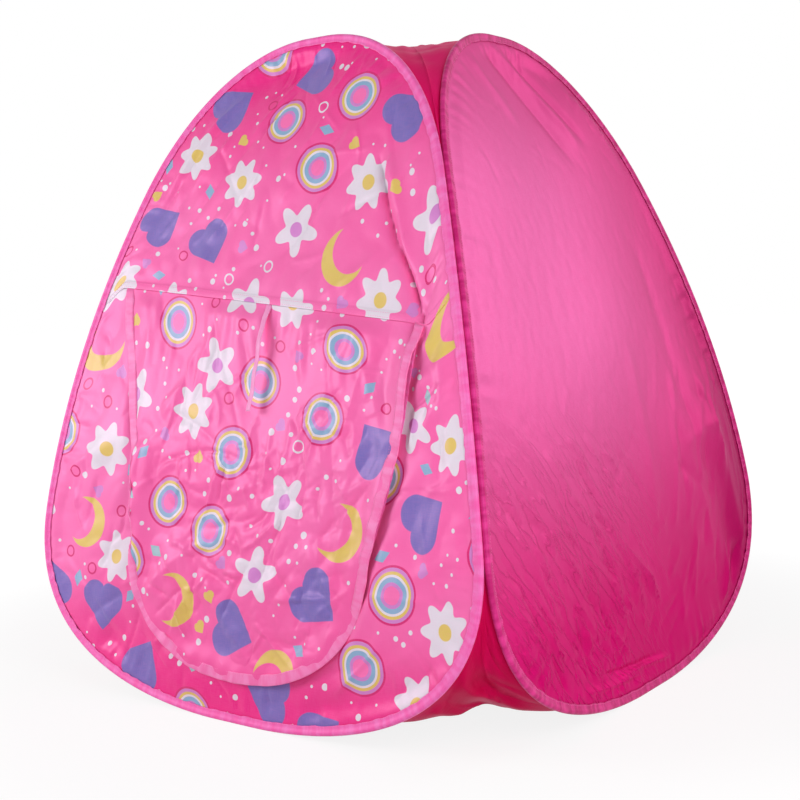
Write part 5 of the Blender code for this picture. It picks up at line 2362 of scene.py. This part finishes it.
@dataclass(frozen=True)
class SeamWeb:
    """The seam allowances of two neighbouring sleeves, sewn together inside their corner: a strip
    that joins the two hoops along the seam."""

    corner: Corner
    half_width: float = 0.0070
    rows: int = 100

    def build(self, finishes: Finishes) -> list[bpy.types.Object]:
        """A shallow channel along the seam, half on each hoop.

        Args:
            finishes: the tent's finishes.

        Returns:
            list: the dressed pieces.
        """
        heights = np.linspace(FORM.seam_foot, FORM.seam_head, self.rows)
        level = np.array([float(FORM.length(z)) for z in heights])
        near, far = self.corner.hoops(level)
        middle = (near + far) / 2
        aside = self.aside()
        side = np.linspace(-self.half_width, self.half_width, 7)[None, :, None]
        inwards = self.corner.inwards(middle)[:, None]
        points = middle[:, None] + aside * side + inwards * (0.0012 + 0.8 * np.abs(side))
        uv = np.stack(np.broadcast_arrays(level[:, None], side[..., 0]), -1)
        piece = Sewing.sheet(f"seam_web_{self.corner.tag}", points, uv, CLOTH_THICK)
        dressed(piece, finishes.side_tape)
        at, out = middle[self.rows // 2], aside * self.half_width * 0.8
        self.corner.bend(piece, tuple((at - out).tolist()), tuple((at + out).tolist()))
        return [piece]

    def aside(self) -> Array:
        """The level way along the corner from the near wall to the far one."""
        across, along = self.corner.near.turn @ np.array([1.0, -1.0])
        return np.array([-along, across, 0.0]) / math.sqrt(2)


@dataclass(frozen=True)
class Roof:
    """The crimson roof: a cloth drawn up between the four hoops' heads, in two halves that meet
    along the diagonal from the front right corner to the back left one."""

    sag: float = 0.010
    crown: float = 4.0
    rings: int = 54

    def edge(self) -> tuple[Array, Array]:
        """The roof's sewn edge once round the hoops' heads, and where each corner falls in it.

        Returns:
            tuple: the edge's places, and where each corner falls in it.
        """
        line = FORM.half_line(0.0045)
        half = line[line[:, 1] > float(FORM.length(FORM.seam_head))]
        across = np.concatenate([half * [-1, 1], half[::-1][1:]])
        inside = np.full(len(across), -FORM.sewn_inside)
        parts = [FORM.hang(*across.T, inside, wall) for wall in Wall]
        return np.concatenate(parts), np.arange(5) * len(across)

    def surface(self, edge: Array, share: Array) -> Array:
        """Places at shares of the way out to the edge.

        The height is the top, less the edge's drop times share^crown, less the sag, with folds
        that run inwards from the corners.

        Args:
            edge: places along the sewn edge.
            share: shares of the way out to it.

        Returns:
            Array: shares by edge places by 3 places.
        """
        top = edge[:, 2].max()
        drop = (top - edge[:, 2])[None]
        turn = np.arctan2(edge[:, 1], edge[:, 0])[None]
        out = share[:, None]
        rays = ((12, 0.6, 0.0030), (29, 0.0, 0.0016), (53, 2.0, 0.0008))
        fold = sum(depth * np.cos(count * turn + start) for count, start, depth in rays) * out
        flat = edge[None, :, :2] * out[..., None]
        soft = 0.0022 * Crests(80, 0.05, 0.16, 45, 60, 30).creased(flat[..., 0], flat[..., 1])
        folds = (fold + soft) * np.sin(math.pi * out)
        height = top - drop * out**self.crown - self.sag * (1 - out**2) + folds
        return np.concatenate([flat, height[..., None]], -1)

    def build(self, finishes: Finishes) -> list[bpy.types.Object]:
        """Make both halves, each with its placement baked into its mesh.

        Args:
            finishes: the tent's finishes.

        Returns:
            list: the dressed pieces.
        """
        edge, corners = self.edge()
        share = np.linspace(0.0, 1, self.rings)
        whole = np.concatenate([edge, edge])
        made = []
        front_right, back_left = corners[1] - 1, corners[3] - 1
        right, back, left, front = (0.11, 0.0), (0.0, 0.11), (-0.11, 0.0), (0.0, -0.11)
        halves = (
            (Wall.RIGHT, Wall.BACK, right, back, front_right, back_left),
            (Wall.FRONT, Wall.LEFT, front, left, back_left, front_right + len(edge)),
        )
        for first, second, start, end, low, high in halves:
            points = self.surface(whole[low:high + 1], share)
            points[0] = points[0].mean(0)
            uv = points[..., :2]
            cloth = Sewing.sheet(f"crimson_roof_{first.tag}_{second.tag}", points, uv, CLOTH_THICK)
            dressed(cloth, finishes.roof, "roof_cloth")
            first.body
            second.body
            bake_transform(cloth)
            sleeve = [f"tape_sleeve_{first.tag}"]
            made.append(cloth)
        return made


@dataclass(frozen=True)
class Studio:
    """White floor, even pale surroundings, soft boxes, and the camera at the photograph's view."""

    camera_place: Place = (1.1768, -1.5941, 0.5583)
    target: Place = (0.0, 0.0, 0.45)
    roll: float = -2.005
    lens: float = 59.1
    shift: Pair = (-0.0068, -0.0571)
    surround: float = 0.24
    floor_half: float = 14.0
    floor_glow: float = 1.07

    def camera(self) -> None:
        """Aim the camera at its target and roll it about its own axis."""
        data = bpy.data.cameras.new("camera")
        data.lens = self.lens
        data.sensor_width = 36
        data.shift_x, data.shift_y = self.shift
        eye = bpy.data.objects.new("camera", data)
        bpy.context.scene.collection.objects.link(eye)
        ahead = (Vector(self.target) - Vector(self.camera_place)).normalized()
        turn = ahead.to_track_quat("-Z", "Y").to_matrix().to_4x4()
        spin = Matrix.Rotation(math.radians(self.roll), 4, "Z")
        eye.matrix_world = Matrix.Translation(self.camera_place) @ turn @ spin
        bpy.context.scene.camera = eye

    def soft_box(
        self, name: str, azimuth: float, elevation: float, away: float, size: Pair, radiance: float,
    ) -> None:
        """A rectangular lamp facing the tent; its power is radiance times pi times its area.

        Args:
            name: the lamp's name.
            azimuth: degrees round from the front, towards the right.
            elevation: degrees above the tent's middle.
            away: distance from the tent's middle.
            size: width and height.
            radiance: brightness of its face.
        """
        lamp = bpy.data.lights.new(name, "AREA")
        lamp.shape = "RECTANGLE"
        lamp.size, lamp.size_y = size
        lamp.energy = radiance * math.pi * size[0] * size[1]
        holder = bpy.data.objects.new(name, lamp)
        bpy.context.scene.collection.objects.link(holder)
        a, e = math.radians(azimuth), math.radians(elevation)
        way = Vector((math.sin(a) * math.cos(e), -math.cos(a) * math.cos(e), math.sin(e)))
        holder.location = Vector(self.target) + way * away
        holder.rotation_euler = (-way).to_track_quat("-Z", "Y").to_euler()

    def lamps(self) -> None:
        """A main soft box to the front left, one behind on the right, and a wide fill."""
        self.soft_box("key_box", -42, 12, 2.4, (1.2, 0.9), 8.7)
        self.soft_box("side_box", 136, 22, 2.8, (0.9, 1.6), 2.9)
        self.soft_box("fill_box", 60, 10, 1.7, (0.9, 1.0), 4.2)

    def world(self) -> None:
        """Even light, seen as plain white by camera, glossy and transmission rays."""
        world = bpy.data.worlds.new("surroundings")
        bpy.context.scene.world = world
        graph = Graph(world)
        seen = graph.math("MULTIPLY_ADD", graph.plainly_seen(), 1 - self.surround, self.surround)
        graph.fill(graph.nodes["Background"], {"Color": (1, 1, 1), "Strength": seen})

    def floor(self) -> None:
        """A wide plain floor: mostly white to the camera, with a share of real light and shadow."""
        corners = np.array([[-1, -1, 0], [1, -1, 0], [1, 1, 0], [-1, 1, 0]]) * self.floor_half
        floor = Sewing.mesh("floor", corners, [np.array([[0, 1, 2, 3]])], corners[:, :2])
        graph = Graph.of_look("floor_look")
        plain = {"Base Color": (0.80, 0.80, 0.80), "Roughness": 0.9, "Specular IOR Level": 0.1}
        graph.fill(graph.shader, plain)
        glow = graph.node("ShaderNodeEmission", {"Color": (1, 1, 1), "Strength": self.floor_glow})
        place = graph.node("ShaderNodeTexCoord", {}).outputs["Object"]
        far = graph.step(graph.vector("LENGTH", place), 0.55, 1.30)
        share = graph.product(graph.plainly_seen(), graph.math("MULTIPLY_ADD", far, 0.20, 0.80))
        both = graph.node("ShaderNodeMixShader", {0: share, 1: graph.shader.outputs[0], 2: glow.outputs[0]})
        graph.put(graph.nodes["Material Output"].inputs["Surface"], both.outputs[0])
        floor.data.materials.append(graph.owner)

    def build(self) -> None:
        """Set up the whole studio."""
        self.camera()
        self.lamps()
        self.world()
        self.floor()
        bpy.context.scene.view_settings.view_transform = "Standard"


def dress_wires(finishes: Finishes) -> None:
    """Give the carried-over wires and ferrules their metal.

    Args:
        finishes: the tent's finishes.
    """
    for name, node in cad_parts.items():
        if name.startswith("wire_"):
            metal = finishes.ferrule if "ferrule" in name else finishes.steel
            node.data.materials.clear()
            node.data.materials.append(metal)


def main() -> None:
    """Build the studio, then each sub-assembly of the tent, and report the pieces."""
    logging.basicConfig(level=logging.INFO, format="%(name)s %(message)s")
    Studio().build()
    finishes = Finishes.mixed()
    dress_wires(finishes)
    assemblies = [HoopSleeve(wall) for wall in Wall]
    assemblies += [DoorFlap(), InnerTie(), FrontWall()]
    assemblies += [SatinWall(Wall.RIGHT), SatinWall(Wall.BACK), SatinWall(Wall.LEFT, mirrored=True)]
    corners = [Corner(near, far) for near, far in zip(Wall, [*Wall][1:] + [Wall.FRONT])]
    assemblies += [CornerGusset(corner) for corner in corners]
    assemblies += [SeamWeb(corner) for corner in corners if corner.near is not Wall.BACK]
    assemblies.append(Roof())
    for assembly in assemblies:
        pieces = assembly.build(finishes)
        LOG.info("%s made %s", type(assembly).__name__, ", ".join(piece.name for piece in pieces))


if __name__ == "__main__":
    main()
